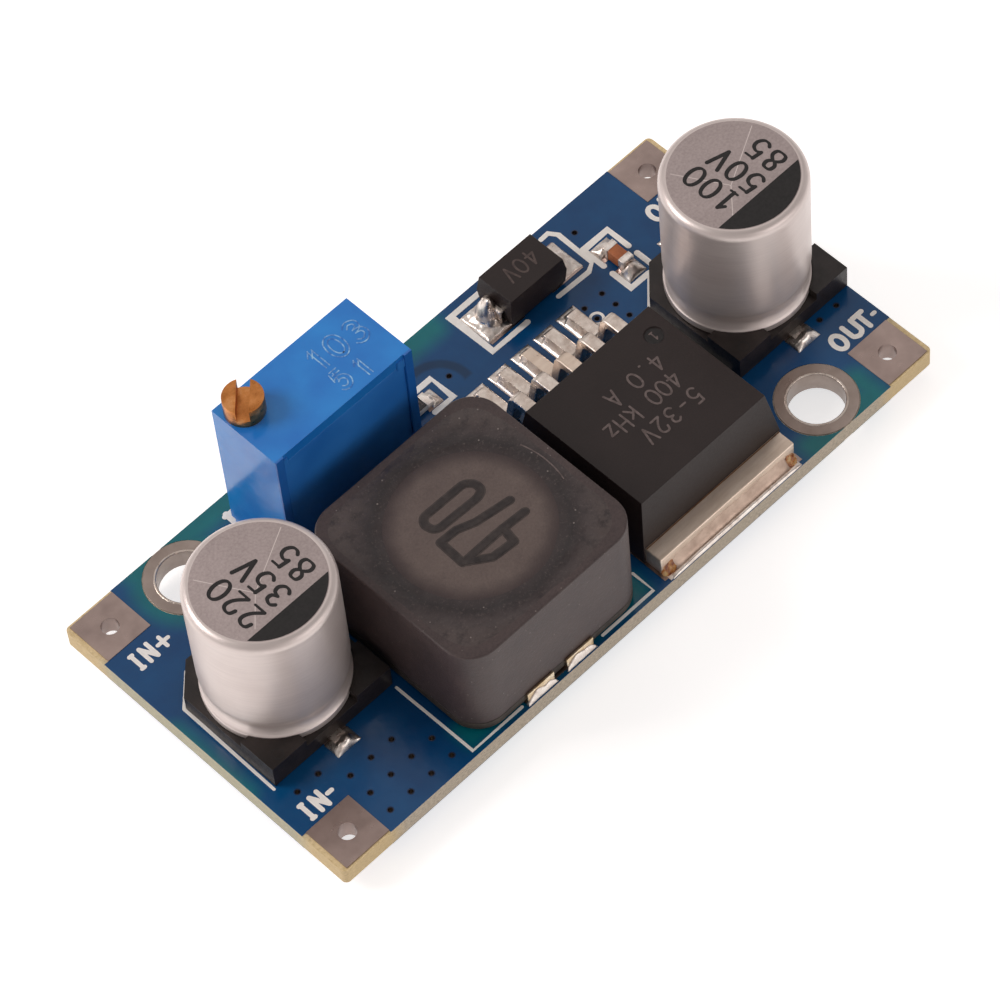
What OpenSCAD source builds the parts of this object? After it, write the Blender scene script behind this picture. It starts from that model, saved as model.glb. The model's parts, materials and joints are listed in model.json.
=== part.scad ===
// DC-DC converter module: populated circuit board with a trimmer that turns.
// Origin at the middle of the board's underside, X along the board, Z up. Millimetres.

/* [Board] */
// Board length
board_l = 43; // [42.6:0.1:46]
// Board width
board_w = 20.8; // [20.8:0.1:23]
// Board thickness over the solder mask
board_t = 1.2; // [0.8:0.1:2]
// Radius at the board's corners
board_corner_r = 0.3; // [0.1:0.1:0.6]
// Solder mask thickness on each face
mask_t = 0.03; // [0.02:0.01:0.05]
// Height of the tinned lands above the mask
land_rise = 0.03; // [0.02:0.01:0.06]

/* [Corner pads and holes] */
// Side of a square wire pad
pad_side = 2.95; // [2.6:0.05:3]
// Distance from the board's end to a pad's middle
pad_inset_x = 1.75; // [1.6:0.05:2]
// Distance from the board's side to a pad's middle
pad_inset_y = 1.6; // [1.5:0.05:1.8]
// Wire hole radius
wire_hole_r = 0.5; // [0.4:0.05:0.6]
// Plating thickness in the holes
plating_t = 0.05; // [0.03:0.01:0.08]
// Mounting hole radius
mount_hole_r = 1.55; // [1.45:0.05:1.65]
// Radius of the tinned ring around a mounting hole
mount_ring_r = 2.25; // [2.1:0.05:2.3]
// Distance from the board's end to a mounting hole's middle
mount_inset_x = 6.45; // [6.3:0.05:6.7]
// Distance from the board's side to a mounting hole's middle
mount_inset_y = 2.28; // [2.24:0.02:2.3]
// Via hole radius
via_r = 0.14; // [0.1:0.01:0.16]
// Via spacing in the input group
via_pitch = 1.44; // [1.3:0.02:1.5]

/* [Capacitors] */
// Lengthwise middle of the input capacitor
cap_in_x = -16.33; // [-16.4:0.01:-16.25]
// Lengthwise middle of the output capacitor
cap_out_x = 17.4; // [17.35:0.01:17.45]
// Crosswise middle of both capacitors
cap_y = -0.2; // [-0.3:0.05:-0.1]
// Can radius
can_r = 3.95; // [3.9:0.01:4]
// Can height
can_h = 8.95; // [8:0.05:10]
// Can wall thickness
can_wall = 0.25; // [0.2:0.01:0.3]
// Radius of the can's top shoulder
can_shoulder_r = 0.5; // [0.4:0.05:0.7]
// Depth of the groove near the can's foot
can_groove_d = 0.24; // [0.15:0.01:0.3]
// Side of the square base
cap_base_side = 8.2; // [8.15:0.01:8.3]
// Thickness of the base plate
cap_base_t = 1.1; // [0.9:0.05:1.3]
// Height of the base's two square corners above the plate
cap_post_h = 0.5; // [0.4:0.05:0.9]
// Gap between the square corners
cap_post_gap = 3.5; // [3:0.1:4.4]
// Corner cut on the base's positive side
cap_base_cut = 1.6; // [1.4:0.05:1.7]
// Width of a terminal foot
cap_foot_w = 0.8; // [0.7:0.05:1]
// Reach of a terminal foot from the capacitor's middle
cap_foot_reach = 4.95; // [4.8:0.05:5.1]
// Thickness of a terminal foot
cap_foot_t = 0.2; // [0.15:0.01:0.25]
// Radius of a terminal's pin
cap_pin_r = 0.35; // [0.3:0.01:0.4]
// Height of the rubber bung
bung_h = 2.1; // [2:0.05:2.4]

/* [Inductor] */
// Lengthwise middle of the inductor
choke_x = -5.65; // [-5.7:0.05:-5.6]
// Crosswise middle of the inductor
choke_y = -3.95; // [-4:0.05:-3.9]
// Side of the square shield
choke_side = 12.15; // [12:0.05:12.2]
// Corner radius of the shield
choke_corner_r = 1.8; // [1.6:0.1:2.2]
// Height of the shield
choke_h = 6.3; // [5.6:0.1:7]
// Radius of the shield's bore
choke_bore_r = 5.4; // [5.3:0.05:5.5]
// Radius of the drum core's flanges
drum_r = 4.5; // [4.4:0.05:4.6]
// Thickness of a drum flange
drum_flange_t = 1; // [0.8:0.05:1.2]
// Radius of the drum's post
drum_post_r = 2.4; // [2:0.1:2.8]
// Thickness of the inductor's base plate
choke_base_t = 0.5; // [0.4:0.05:0.7]
// Depth of the resin ring below the shield's top
resin_sink = 0.12; // [0.05:0.01:0.2]
// Width of a clip over both lobes
clip_w = 4.7; // [4.4:0.1:5]
// Width of the gap between a clip's lobes
clip_gap = 0.9; // [0.7:0.1:1.1]
// Clip sheet thickness
clip_t = 0.18; // [0.15:0.01:0.22]
// Height of a clip's lobes
clip_h = 0.8; // [0.7:0.05:1]

/* [Converter chip] */
// Lengthwise middle of the chip
ic_x = 6.7; // [6.65:0.05:6.75]
// Crosswise place of the tab's outer edge
ic_tab_edge_y = -9.74; // [-9.78:0.01:-9.7]
// Length of tab outside the body
ic_tab_out = 1.1; // [1:0.05:1.2]
// Tab width
ic_tab_w = 9.9; // [9.6:0.05:10]
// Tab thickness
ic_tab_t = 1.27; // [1.2:0.01:1.3]
// Body width at its widest
ic_body_w = 10.1; // [10:0.05:10.2]
// Body length at its widest
ic_body_l = 9.35; // [9.2:0.05:9.45]
// Body height
ic_body_h = 4.45; // [4.2:0.05:4.6]
// How far the sides lean in towards the top
ic_draft = 0.52; // [0.4:0.02:0.6]
// Lead spacing
ic_pitch = 1.7; // [1.65:0.01:1.75]
// Lead width
ic_lead_w = 0.8; // [0.7:0.05:0.9]
// Lead thickness
ic_lead_t = 0.5; // [0.4:0.05:0.55]
// Height of a lead's top where it leaves the body
ic_lead_z = 2.85; // [2.7:0.05:2.95]
// Crosswise place of the lead tips
ic_lead_tip_y = 5.05; // [4.95:0.05:5.15]
// Radius of the pin-one mark
ic_dot_r = 0.55; // [0.4:0.05:0.7]

/* [Diode] */
// Lengthwise middle of the diode
diode_x = 9.5; // [9.45:0.05:9.6]
// Crosswise middle of the diode
diode_y = 8.05; // [7.95:0.05:8.1]
// Body length
diode_l = 4.2; // [4:0.05:4.4]
// Body width
diode_w = 2.6; // [2.5:0.05:2.7]
// Body height
diode_h = 2; // [1.8:0.05:2.2]
// Lead width
diode_lead_w = 1.45; // [1.3:0.05:1.6]
// Lead thickness
diode_lead_t = 0.2; // [0.16:0.01:0.25]

/* [Chip parts] */
// Lengthwise middle of the chip capacitor
mlcc_x = 14.45; // [14.4:0.05:14.5]
// Crosswise middle of the chip capacitor
mlcc_y = 5.8; // [5.75:0.05:5.85]
// Chip capacitor length
mlcc_l = 1.6; // [1.55:0.05:1.7]
// Chip capacitor width
mlcc_w = 0.8; // [0.75:0.05:0.9]
// Chip capacitor height
mlcc_h = 0.8; // [0.7:0.05:0.9]
// Lengthwise middle of the chip resistor
res_x = 0.35; // [0.3:0.05:0.4]
// Crosswise middle of the chip resistor
res_y = 6.75; // [6.7:0.05:6.8]
// Chip resistor length
res_l = 1.6; // [1.55:0.05:1.7]
// Chip resistor width
res_w = 0.85; // [0.8:0.05:0.9]
// Chip resistor height
res_h = 0.45; // [0.4:0.05:0.55]
// End cap length on both chip parts
chip_cap_l = 0.4; // [0.3:0.05:0.45]
// End cap metal thickness
chip_cap_t = 0.03; // [0.02:0.01:0.05]

/* [Trimmer] */
// Lengthwise middle of the trimmer
trim_x = -6.24; // [-6.28:0.01:-6.2]
// Crosswise middle of the trimmer
trim_y = 6.58; // [6.54:0.01:6.62]
// Trimmer length
trim_l = 9.45; // [9.4:0.05:9.6]
// Trimmer width
trim_w = 4.75; // [4.7:0.05:4.85]
// Trimmer height above the board
trim_h = 10.03; // [9.9:0.01:10.2]
// Height of the trimmer's feet
trim_foot_h = 0.35; // [0.25:0.05:0.5]
// Inset of the cover from the housing's open side
cover_inset = 0.12; // [0.1:0.01:0.2]
// Radius of the screw's head
screw_head_r = 1.095; // [1.05:0.005:1.12]
// Height of the screw's head above the housing
screw_head_h = 1.21; // [1:0.01:1.4]
// Screw slot width
screw_slot_w = 0.7; // [0.5:0.05:0.8]
// Screw slot depth
screw_slot_d = 0.75; // [0.5:0.05:0.9]
// Distance of the screw from the housing's end and side
screw_inset = 1.2; // [1.19:0.005:1.22]
// Running clearance of the turning parts
run_gap = 0.05; // [0.03:0.01:0.07]
// Number of teeth on the rotor
rotor_teeth = 25; // [24:1:26]
// Space above and below the rotor's teeth
rotor_space = 0.415; // [0.39:0.005:0.45]
// Tooth height
tooth_h = 0.3; // [0.28:0.01:0.32]
// Rotor face width
rotor_w = 1.1; // [1:0.05:1.15]
// Radius of the rotor's axle
axle_r = 0.6; // [0.5:0.05:0.7]
// Spacing of the trimmer's pins
pin_pitch = 2.54; // [2.5:0.01:2.58]
// Pin radius
pin_r = 0.25; // [0.22:0.01:0.28]
// Length of pin below the board
pin_out = 0.9; // [0.7:0.05:1.1]

/* [Hidden] */
$fn = 64;
eps = 0.01;
copper_z = board_t - mask_t;
deck = board_t + land_rise;
land_t = deck - copper_z;
ring_gap = 0.2;
pad_x = board_l / 2 - pad_inset_x;
pad_y = board_w / 2 - pad_inset_y;
mount_x = board_l / 2 - mount_inset_x;
mount_y = board_w / 2 - mount_inset_y;
barrel_r = wire_hole_r + plating_t;
mount_barrel_r = mount_hole_r + plating_t;
via_barrel_r = via_r + 0.06;
pin_hole_r = pin_r + 0.1;
pin_barrel_r = pin_hole_r + plating_t;
pin_ring_r = 0.85;

can_in_r = can_r - can_wall;
can_lip_r = can_r - 0.9;
groove_z = 1.0;
groove_w = 0.75;
cap_pin_y = 1.6;
cap_plate_top = deck + cap_base_t;
roll_r = can_in_r - 0.25;
roll_h = can_h - can_wall - bung_h - 0.5;

choke_seat = deck + clip_t;
choke_foot = choke_seat + choke_base_t;
choke_top = choke_foot + choke_h;

ic_body_y0 = ic_tab_edge_y + ic_tab_out;
ic_body_y1 = ic_body_y0 + ic_body_l;
ic_mid_y = (ic_body_y0 + ic_body_y1) / 2;
ic_land_y0 = ic_tab_edge_y - 0.4;
ic_tab_y1 = ic_body_y1 - 2;
ic_die_t = 0.3;

diode_seat = deck + diode_lead_t;
diode_mid = diode_seat + diode_h / 2;
diode_span = diode_l / 2 + 0.3;
diode_die_t = 0.2;

trim_z0 = board_t + trim_foot_h;
trim_top = board_t + trim_h;
wall_end = 0.5;
wall_side = 0.45;
cavity_top = trim_top - 1.45;
cavity_z0 = trim_z0 + 0.7;
front_y = -trim_w / 2 + cover_inset;
element_y1 = -0.35;
element_t = 0.6;
track_t = 0.03;
screw_x = -trim_l / 2 + screw_inset;
screw_y = trim_w / 2 - screw_inset;
bore_r = 0.9;
crest_r = bore_r - run_gap;
root_r = crest_r - tooth_h;
rotor_z = (cavity_z0 + cavity_top) / 2;
mesh_x = screw_x + root_r + 0.07;
rotor_tip_r = min(
  (cavity_top - cavity_z0) / 2 - rotor_space,
  (trim_l / 2 - wall_end - 0.3 - mesh_x) / 2
);
rotor_x = mesh_x + rotor_tip_r;
rotor_y0 = screw_y - rotor_w / 2;
rotor_root_r = rotor_tip_r - tooth_h;
track_r = 0.746 * rotor_tip_r;
track_w = 0.24 * rotor_tip_r;
worm_pitch = 2 * PI * (rotor_tip_r - tooth_h / 2) / rotor_teeth;
worm_turns = 4;
worm_h = worm_turns * worm_pitch;
worm_z0 = rotor_z - worm_h / 2;
seal_z = cavity_top + 0.75;
seal_tube_r = 0.16;

// Block with sloping sides: lower size a x b, upper size c x d, from z0 up by h
module taper(a, b, c, d, z0, h) {
  polyhedron(
    points = [
      [-a / 2, -b / 2, z0], [a / 2, -b / 2, z0], [a / 2, b / 2, z0], [-a / 2, b / 2, z0],
      [-c / 2, -d / 2, z0 + h], [c / 2, -d / 2, z0 + h], [c / 2, d / 2, z0 + h], [-c / 2, d / 2, z0 + h]
    ],
    faces = [[0, 1, 2, 3], [4, 7, 6, 5], [0, 4, 5, 1], [1, 5, 6, 2], [2, 6, 7, 3], [3, 7, 4, 0]]
  );
}

// Block centred in X and Y, from z0 up by h
module slab(a, b, z0, h) {
  translate([-a / 2, -b / 2, z0])
    cube([a, b, h]);
}

module at(x, y) {
  translate([x, y, 0])
    children();
}

// Slab with four round upright corners
module round_slab(a, b, r, z0, h) {
  slab(a - 2 * r, b, z0, h);
  slab(a, b - 2 * r, z0, h);
  for (sx = [-1, 1])
    for (sy = [-1, 1])
      translate([sx * (a / 2 - r), sy * (b / 2 - r), z0])
        cylinder(r = r, h = h);
}

// Side profile drawn in Y and Z, swept along X over width w
module swept_x(w) {
  translate([-w / 2, 0, 0])
    rotate([90, 0, 90])
      linear_extrude(height = w)
        children();
}

// Side profile drawn in X and Z, swept along Y over width w
module swept_y(w) {
  translate([0, w / 2, 0])
    rotate([90, 0, 0])
      linear_extrude(height = w)
        children();
}

module at_corners() {
  for (sx = [-1, 1])
    for (sy = [-1, 1])
      at(sx * pad_x, sy * pad_y)
        children();
}

module at_mounts() {
  for (s = [-1, 1])
    at(s * mount_x, -s * mount_y)
      children();
}

module at_pins() {
  for (i = [-1, 0, 1])
    at(trim_x + i * pin_pitch, trim_y)
      children();
}

module at_vias() {
  for (i = [0 : 3])
    for (j = [0 : 2])
      if (i + j < 5)
        at(-pad_x + (1.62 + i) * via_pitch, -pad_y + (j - 0.465) * via_pitch)
          children();
  for (i = [0, 1])
    at(-pad_x + (i - 0.1) * via_pitch, -pad_y + 2.415 * via_pitch)
      children();
  for (i = [0, 1])
    at(pad_x + (0.89 * i - 0.61) * via_pitch, -pad_y + 2.81 * via_pitch)
      children();
  for (i = [0 : 2])
    at(ic_x + 3.89 * via_pitch, ic_lead_tip_y + (0.71 * i - 1.515) * via_pitch)
      children();
  for (i = [0, 1])
    at(ic_x + 2.965 * via_pitch, ic_lead_tip_y + (0.653 * i - 0.75) * via_pitch)
      children();
  at(pad_x - 3.88 * via_pitch, pad_y)
    children();
  at(res_x + 1.86 * via_pitch, res_y + 0.25 * via_pitch)
    children();
}

// Outlines of every tinned land on the top face, apart from rings and wire pads
module land_outlines(z0, h) {
  at(ic_x, (ic_land_y0 + ic_tab_y1) / 2)
    slab(ic_tab_w + 0.3, ic_tab_y1 - ic_land_y0, z0, h);
  for (i = [-2 : 2])
    at(ic_x - 0.15 + i * ic_pitch, ic_lead_tip_y - 0.95)
      slab(1.15, 2.5, z0, h);
  at(diode_x - diode_span + 0.15, diode_y)
    slab(2.5, 2.4, z0, h);
  at(diode_x + diode_span - 0.2, diode_y)
    slab(2.3, 2.4, z0, h);
  for (s = [-1, 1]) {
    at(mlcc_x, mlcc_y + s * 0.95)
      slab(1.3, 1.1, z0, h);
    at(res_x + s * 0.85, res_y)
      slab(0.95, 1.1, z0, h);
    at(cap_in_x, cap_y + s * 3.7)
      slab(1.5, 3, z0, h);
    at(cap_out_x, cap_y + s * 3.7)
      slab(1.5, 3, z0, h);
    at(choke_x - 0.35, choke_y + s * 4.9)
      slab(clip_w + 0.2, 2.6, z0, h);
  }
}

// Lands stop short of the rings around the mounting holes
module lands(z0, h) {
  difference() {
    land_outlines(z0, h);
    at_mounts()
      drill(mount_ring_r + ring_gap);
  }
}

module drill(r) {
  translate([0, 0, -1])
    cylinder(r = r, h = board_t + 2);
}

module pcb_laminate() {
  color("tan")
    difference() {
      round_slab(board_l, board_w, board_corner_r, mask_t, board_t - 2 * mask_t);
      at_corners()
        drill(barrel_r);
      at_mounts()
        drill(mount_barrel_r);
      at_pins()
        drill(pin_barrel_r);
      at_vias()
        drill(via_barrel_r);
    }
}

// One face's mask: bare at the corners and around the rings
module mask_sheet(z0) {
  difference() {
    round_slab(board_l, board_w, board_corner_r, z0, mask_t);
    for (sx = [-1, 1])
      for (sy = [-1, 1])
        at(sx * board_l / 2, sy * board_w / 2)
          slab(2 * pad_inset_x + pad_side, 2 * pad_inset_y + pad_side, z0 - 1, 3);
    at_mounts()
      drill(mount_ring_r + 0.05);
    at_pins()
      drill(pin_ring_r);
    at_vias()
      drill(via_barrel_r);
  }
}

module mask_top() {
  color("midnightblue")
    difference() {
      mask_sheet(copper_z);
      lands(copper_z - 1, 3);
    }
}

module mask_bottom() {
  color("midnightblue")
    mask_sheet(0);
}

module corner_pads() {
  color("silver")
    at_corners()
      difference() {
        union() {
          slab(pad_side, pad_side, copper_z, land_t);
          slab(pad_side, pad_side, 0, mask_t);
          cylinder(r = barrel_r, h = board_t);
        }
        drill(wire_hole_r);
      }
}

module mounting_rings() {
  color("silver")
    at_mounts()
      difference() {
        union() {
          translate([0, 0, copper_z])
            cylinder(r = mount_ring_r, h = land_t);
          cylinder(r = mount_ring_r, h = mask_t);
          cylinder(r = mount_barrel_r, h = board_t);
        }
        drill(mount_hole_r);
      }
}

module component_lands() {
  color("silver")
    lands(copper_z, land_t);
}

module via_barrels() {
  color("goldenrod")
    at_vias()
      difference() {
        cylinder(r = via_barrel_r, h = board_t);
        drill(via_r);
      }
}

module trimmer_lands() {
  color("silver")
    at_pins()
      difference() {
        union() {
          translate([0, 0, copper_z])
            cylinder(r = pin_ring_r, h = land_t);
          cylinder(r = pin_ring_r, h = mask_t);
          cylinder(r = pin_barrel_r, h = board_t);
        }
        drill(pin_hole_r);
      }
}

// Capacitor terminals: pin down from the roll, foot out under the base
module cap_terminals() {
  for (s = [-1, 1]) {
    translate([0, s * cap_pin_y, deck])
      cylinder(r = cap_pin_r, h = cap_base_t + bung_h);
    at(0, s * (cap_foot_reach + cap_pin_y - cap_foot_w / 2) / 2)
      slab(cap_foot_w, cap_foot_reach - cap_pin_y + cap_foot_w / 2, deck, cap_foot_t);
  }
}

module cap_base() {
  half = cap_base_side / 2;
  color("dimgray")
    difference() {
      slab(cap_base_side, cap_base_side, deck, cap_base_t + cap_post_h);
      translate([0, 0, cap_plate_top])
        cylinder(r = can_r + 0.03, h = cap_post_h + 1);
      slab(cap_base_side + 1, cap_post_gap, cap_plate_top, cap_post_h + 1);
      slab(cap_post_gap, cap_base_side + 1, cap_plate_top, cap_post_h + 1);
      at(0, half)
        slab(cap_base_side + 1, cap_base_side, cap_plate_top, cap_post_h + 1);
      for (s = [-1, 1])
        at(s * half, half)
          rotate([0, 0, 45])
            slab(cap_base_cut * sqrt(2), cap_base_cut * sqrt(2), deck - 1, 6);
      cap_terminals();
    }
}

// Can: rolled lip at the foot, pressed groove, rounded shoulder
module cap_can() {
  step = 90 / 6;
  color("gainsboro")
    translate([0, 0, cap_plate_top])
      rotate_extrude()
        polygon(concat(
          [[can_lip_r, 0], [can_r - 0.1, 0], [can_r, 0.1], [can_r, groove_z]],
          [[can_r - can_groove_d, groove_z + 0.3], [can_r - can_groove_d, groove_z + groove_w - 0.3]],
          [[can_r, groove_z + groove_w]],
          [for (i = [0 : 6]) [
            can_r - can_shoulder_r * (1 - cos(i * step)),
            can_h - can_shoulder_r * (1 - sin(i * step))
          ]],
          [[0, can_h], [0, can_h - can_wall]],
          [[can_in_r - 0.3, can_h - can_wall], [can_in_r, can_h - can_wall - 0.3]],
          [[can_in_r, groove_z + groove_w], [can_in_r - can_groove_d, groove_z + groove_w - 0.3]],
          [[can_in_r - can_groove_d, groove_z + 0.3], [can_in_r, groove_z]],
          [[can_in_r, can_wall], [can_lip_r, can_wall]]
        ));
}

module cap_bung() {
  color("black")
    difference() {
      translate([0, 0, cap_plate_top])
        rotate_extrude()
          polygon([
            [0, 0], [can_lip_r, 0], [can_lip_r, can_wall], [can_in_r, can_wall],
            [can_in_r, groove_z], [can_in_r - can_groove_d, groove_z + 0.3],
            [can_in_r - can_groove_d, groove_z + groove_w - 0.3], [can_in_r, groove_z + groove_w],
            [can_in_r, bung_h], [0, bung_h]
          ]);
      cap_terminals();
    }
}

module cap_roll() {
  color("peru")
    translate([0, 0, cap_plate_top + bung_h])
      cylinder(r = roll_r, h = roll_h);
}

module cap_in_base() {
  at(cap_in_x, cap_y)
    cap_base();
}

module cap_in_can() {
  at(cap_in_x, cap_y)
    cap_can();
}

module cap_in_bung() {
  at(cap_in_x, cap_y)
    cap_bung();
}

module cap_in_roll() {
  at(cap_in_x, cap_y)
    cap_roll();
}

module cap_in_terminals() {
  color("silver")
    at(cap_in_x, cap_y)
      cap_terminals();
}

module cap_out_base() {
  at(cap_out_x, cap_y)
    cap_base();
}

module cap_out_can() {
  at(cap_out_x, cap_y)
    cap_can();
}

module cap_out_bung() {
  at(cap_out_x, cap_y)
    cap_bung();
}

module cap_out_roll() {
  at(cap_out_x, cap_y)
    cap_roll();
}

module cap_out_terminals() {
  color("silver")
    at(cap_out_x, cap_y)
      cap_terminals();
}

module choke_shield() {
  color("dimgray")
    at(choke_x, choke_y)
      difference() {
        round_slab(choke_side, choke_side, choke_corner_r, choke_foot, choke_h);
        translate([0, 0, choke_foot - 1])
          cylinder(r = choke_bore_r, h = choke_h + 2);
      }
}

module choke_drum() {
  color("gray")
    translate([choke_x, choke_y, choke_foot]) {
      cylinder(r = drum_r, h = drum_flange_t);
      cylinder(r = drum_post_r, h = choke_h);
      translate([0, 0, choke_h - drum_flange_t])
        cylinder(r = drum_r, h = drum_flange_t);
    }
}

// Wound turns stand out as rounded ribs
module choke_winding() {
  h = choke_h - 2 * drum_flange_t;
  rows = 8;
  color("darkorange")
    translate([choke_x, choke_y, choke_foot + drum_flange_t])
      rotate_extrude()
        polygon(concat(
          [[drum_post_r, 0], [drum_r - 0.4, 0]],
          [for (i = [0 : rows - 1]) for (k = [0, 1]) [
            drum_r - 0.4 + (k == 0 ? 0.2 : 0),
            (i + (k == 0 ? 0.5 : 1)) * h / rows
          ]],
          [[drum_post_r, h]]
        ));
}

module choke_resin() {
  color("saddlebrown")
    translate([choke_x, choke_y, choke_top - drum_flange_t])
      difference() {
        cylinder(r = choke_bore_r, h = drum_flange_t - resin_sink);
        translate([0, 0, -1])
          cylinder(r = drum_r, h = drum_flange_t + 2);
      }
}

module choke_base() {
  color("black")
    at(choke_x, choke_y)
      round_slab(choke_side, choke_side, choke_corner_r, choke_seat, choke_base_t);
}

module choke_clips() {
  edge = choke_side / 2;
  color("silver")
    at(choke_x - 0.35, choke_y)
      for (a = [0, 180])
        rotate([0, 0, a])
          difference() {
            union() {
              at(0, -edge + 1.1)
                slab(clip_w, 2.2, deck, clip_t);
              at(0, -edge - clip_t / 2)
                slab(clip_w, clip_t, deck, clip_h);
            }
            at(0, -edge)
              slab(clip_gap, 1.4, deck - 1, clip_h + 2);
          }
}

// Lead with a double bend, drawn as heights over its distance from the body
module lead_profile(y0) {
  y1 = ic_body_y1;
  zt = deck + ic_lead_z;
  zb = zt - ic_lead_t;
  tip = ic_lead_tip_y;
  polygon([
    [y0, zb], [y1 + 0.95, zb], [y1 + 1.12, zb - 0.08], [y1 + 1.22, zb - 0.24],
    [y1 + 1.6, deck + 0.3], [y1 + 1.78, deck + 0.07], [y1 + 2.02, deck], [tip, deck],
    [tip, deck + ic_lead_t], [y1 + 2.36, deck + ic_lead_t], [y1 + 2.16, deck + ic_lead_t + 0.1],
    [y1 + 2.04, deck + ic_lead_t + 0.3], [y1 + 1.7, zt - 0.38], [y1 + 1.52, zt - 0.1],
    [y1 + 1.28, zt], [y0, zt]
  ]);
}

module ic_side_leads() {
  for (i = [-2, -1, 1, 2])
    at(ic_x + i * ic_pitch, 0)
      swept_x(ic_lead_w)
        lead_profile(ic_body_y1 - 1.6);
}

module ic_tab_and_lead() {
  at(ic_x, (ic_tab_edge_y + ic_tab_y1) / 2)
    slab(ic_tab_w, ic_tab_y1 - ic_tab_edge_y, deck, ic_tab_t);
  at(ic_x, ic_tab_y1 - 0.3)
    slab(ic_lead_w, 0.6, deck + ic_tab_t - 0.1, ic_lead_z - ic_tab_t + 0.1);
  at(ic_x, 0)
    swept_x(ic_lead_w)
      lead_profile(ic_tab_y1 - 0.3);
}

module ic_die() {
  color("slategray")
    at(ic_x, ic_mid_y - 1)
      slab(4, 3.2, deck + ic_tab_t, ic_die_t);
}

module ic_body() {
  color("black")
    difference() {
      union() {
        at(ic_x, ic_mid_y)
          slab(ic_body_w, ic_body_l, deck, ic_tab_t);
        at(ic_x, ic_mid_y)
          taper(
            ic_body_w, ic_body_l, ic_body_w - 2 * ic_draft, ic_body_l - 2 * ic_draft,
            deck + ic_tab_t, ic_body_h - ic_tab_t
          );
      }
      ic_tab_and_lead();
      ic_side_leads();
      ic_die();
      translate([ic_x + 3.4, ic_body_y1 - 2.02, deck + ic_body_h - 0.1])
        cylinder(r = ic_dot_r, h = 1);
    }
}

module ic_tab() {
  color("silver")
    ic_tab_and_lead();
}

module ic_leads() {
  color("silver")
    ic_side_leads();
}

// Diode lead seen from the side: s is the end it leaves by, lift raises its inner end
module diode_lead(s, lift) {
  t = diode_lead_t;
  at(diode_x, diode_y)
    scale([s, 1, 1])
      swept_y(diode_lead_w)
        polygon([
          [-0.5, diode_mid - t + lift], [0.75, diode_mid - t + lift], [0.75, diode_mid - t],
          [diode_span - t, diode_mid - t], [diode_span - t, deck + t], [diode_span - 1.4, deck + t],
          [diode_span - 1.4, deck], [diode_span - 0.1, deck], [diode_span, deck + 0.1],
          [diode_span, diode_mid - 0.1], [diode_span - 0.1, diode_mid], [0.95, diode_mid],
          [0.95, diode_mid + lift], [-0.5, diode_mid + lift]
        ]);
}

module both_diode_leads() {
  diode_lead(-1, 0);
  diode_lead(1, diode_die_t + diode_lead_t);
}

module diode_die() {
  color("slategray")
    at(diode_x, diode_y)
      slab(0.9, 0.9, diode_mid, diode_die_t);
}

module diode_body() {
  h = diode_h / 2;
  color("black")
    difference() {
      at(diode_x, diode_y) {
        taper(diode_l - 0.25, diode_w - 0.1, diode_l, diode_w, diode_seat, h);
        taper(diode_l, diode_w, diode_l - 0.35, diode_w - 0.15, diode_seat + h, h);
      }
      both_diode_leads();
      diode_die();
    }
}

module diode_leads() {
  color("silver")
    both_diode_leads();
}

// Block inside a chip part's end caps, long side along X
module chip_core(l, w, h) {
  t = chip_cap_t;
  slab(l - 2 * t, w - 2 * t, deck + t, h - 2 * t);
}

module chip_caps(l, w, h) {
  difference() {
    for (s = [-1, 1])
      at(s * (l - chip_cap_l) / 2, 0)
        slab(chip_cap_l, w, deck, h);
    chip_core(l, w, h);
  }
}

module mlcc_body() {
  color("peru")
    at(mlcc_x, mlcc_y)
      rotate([0, 0, 90])
        chip_core(mlcc_l, mlcc_w, mlcc_h);
}

module mlcc_end_caps() {
  color("silver")
    at(mlcc_x, mlcc_y)
      rotate([0, 0, 90])
        chip_caps(mlcc_l, mlcc_w, mlcc_h);
}

module resistor_body() {
  color("white")
    at(res_x, res_y)
      chip_core(res_l, res_w, res_h);
}

module resistor_glaze() {
  color("black")
    at(res_x, res_y)
      slab(res_l - 2 * chip_cap_l, res_w - 0.1, deck + res_h - chip_cap_t, 0.04);
}

module resistor_end_caps() {
  color("silver")
    at(res_x, res_y)
      chip_caps(res_l, res_w, res_h);
}

// Trimmer parts are drawn around the trimmer's own middle
module on_trimmer() {
  at(trim_x, trim_y)
    children();
}

module cover_block(extra) {
  w = trim_l - 2 * wall_end;
  translate([-w / 2, front_y - extra, cavity_z0])
    cube([w, element_y1 - element_t - front_y + extra, trim_top - 0.7 - cavity_z0]);
}

module element_plate() {
  w = trim_l - 2 * wall_end;
  translate([-w / 2, element_y1 - element_t, cavity_z0])
    cube([w, element_t, cavity_top - cavity_z0 + 0.4]);
}

module along_y(x, z, y0, h, r) {
  translate([x, y0, z])
    rotate([-90, 0, 0])
      cylinder(r = r, h = h);
}

module trimmer_pin_set() {
  for (i = [-1, 0, 1])
    at(i * pin_pitch, 0) {
      translate([0, 0, -pin_out])
        cylinder(r = pin_r, h = pin_out + cavity_z0 - 0.3);
      translate([-pin_r, element_y1 - element_t - 0.1, cavity_z0 - 0.4])
        cube([2 * pin_r, pin_r - element_y1 + element_t + 0.1, 0.4]);
      translate([-pin_r, element_y1 - element_t - 0.1, cavity_z0 - 0.4])
        cube([2 * pin_r, 0.1, 1.2]);
    }
}

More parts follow.
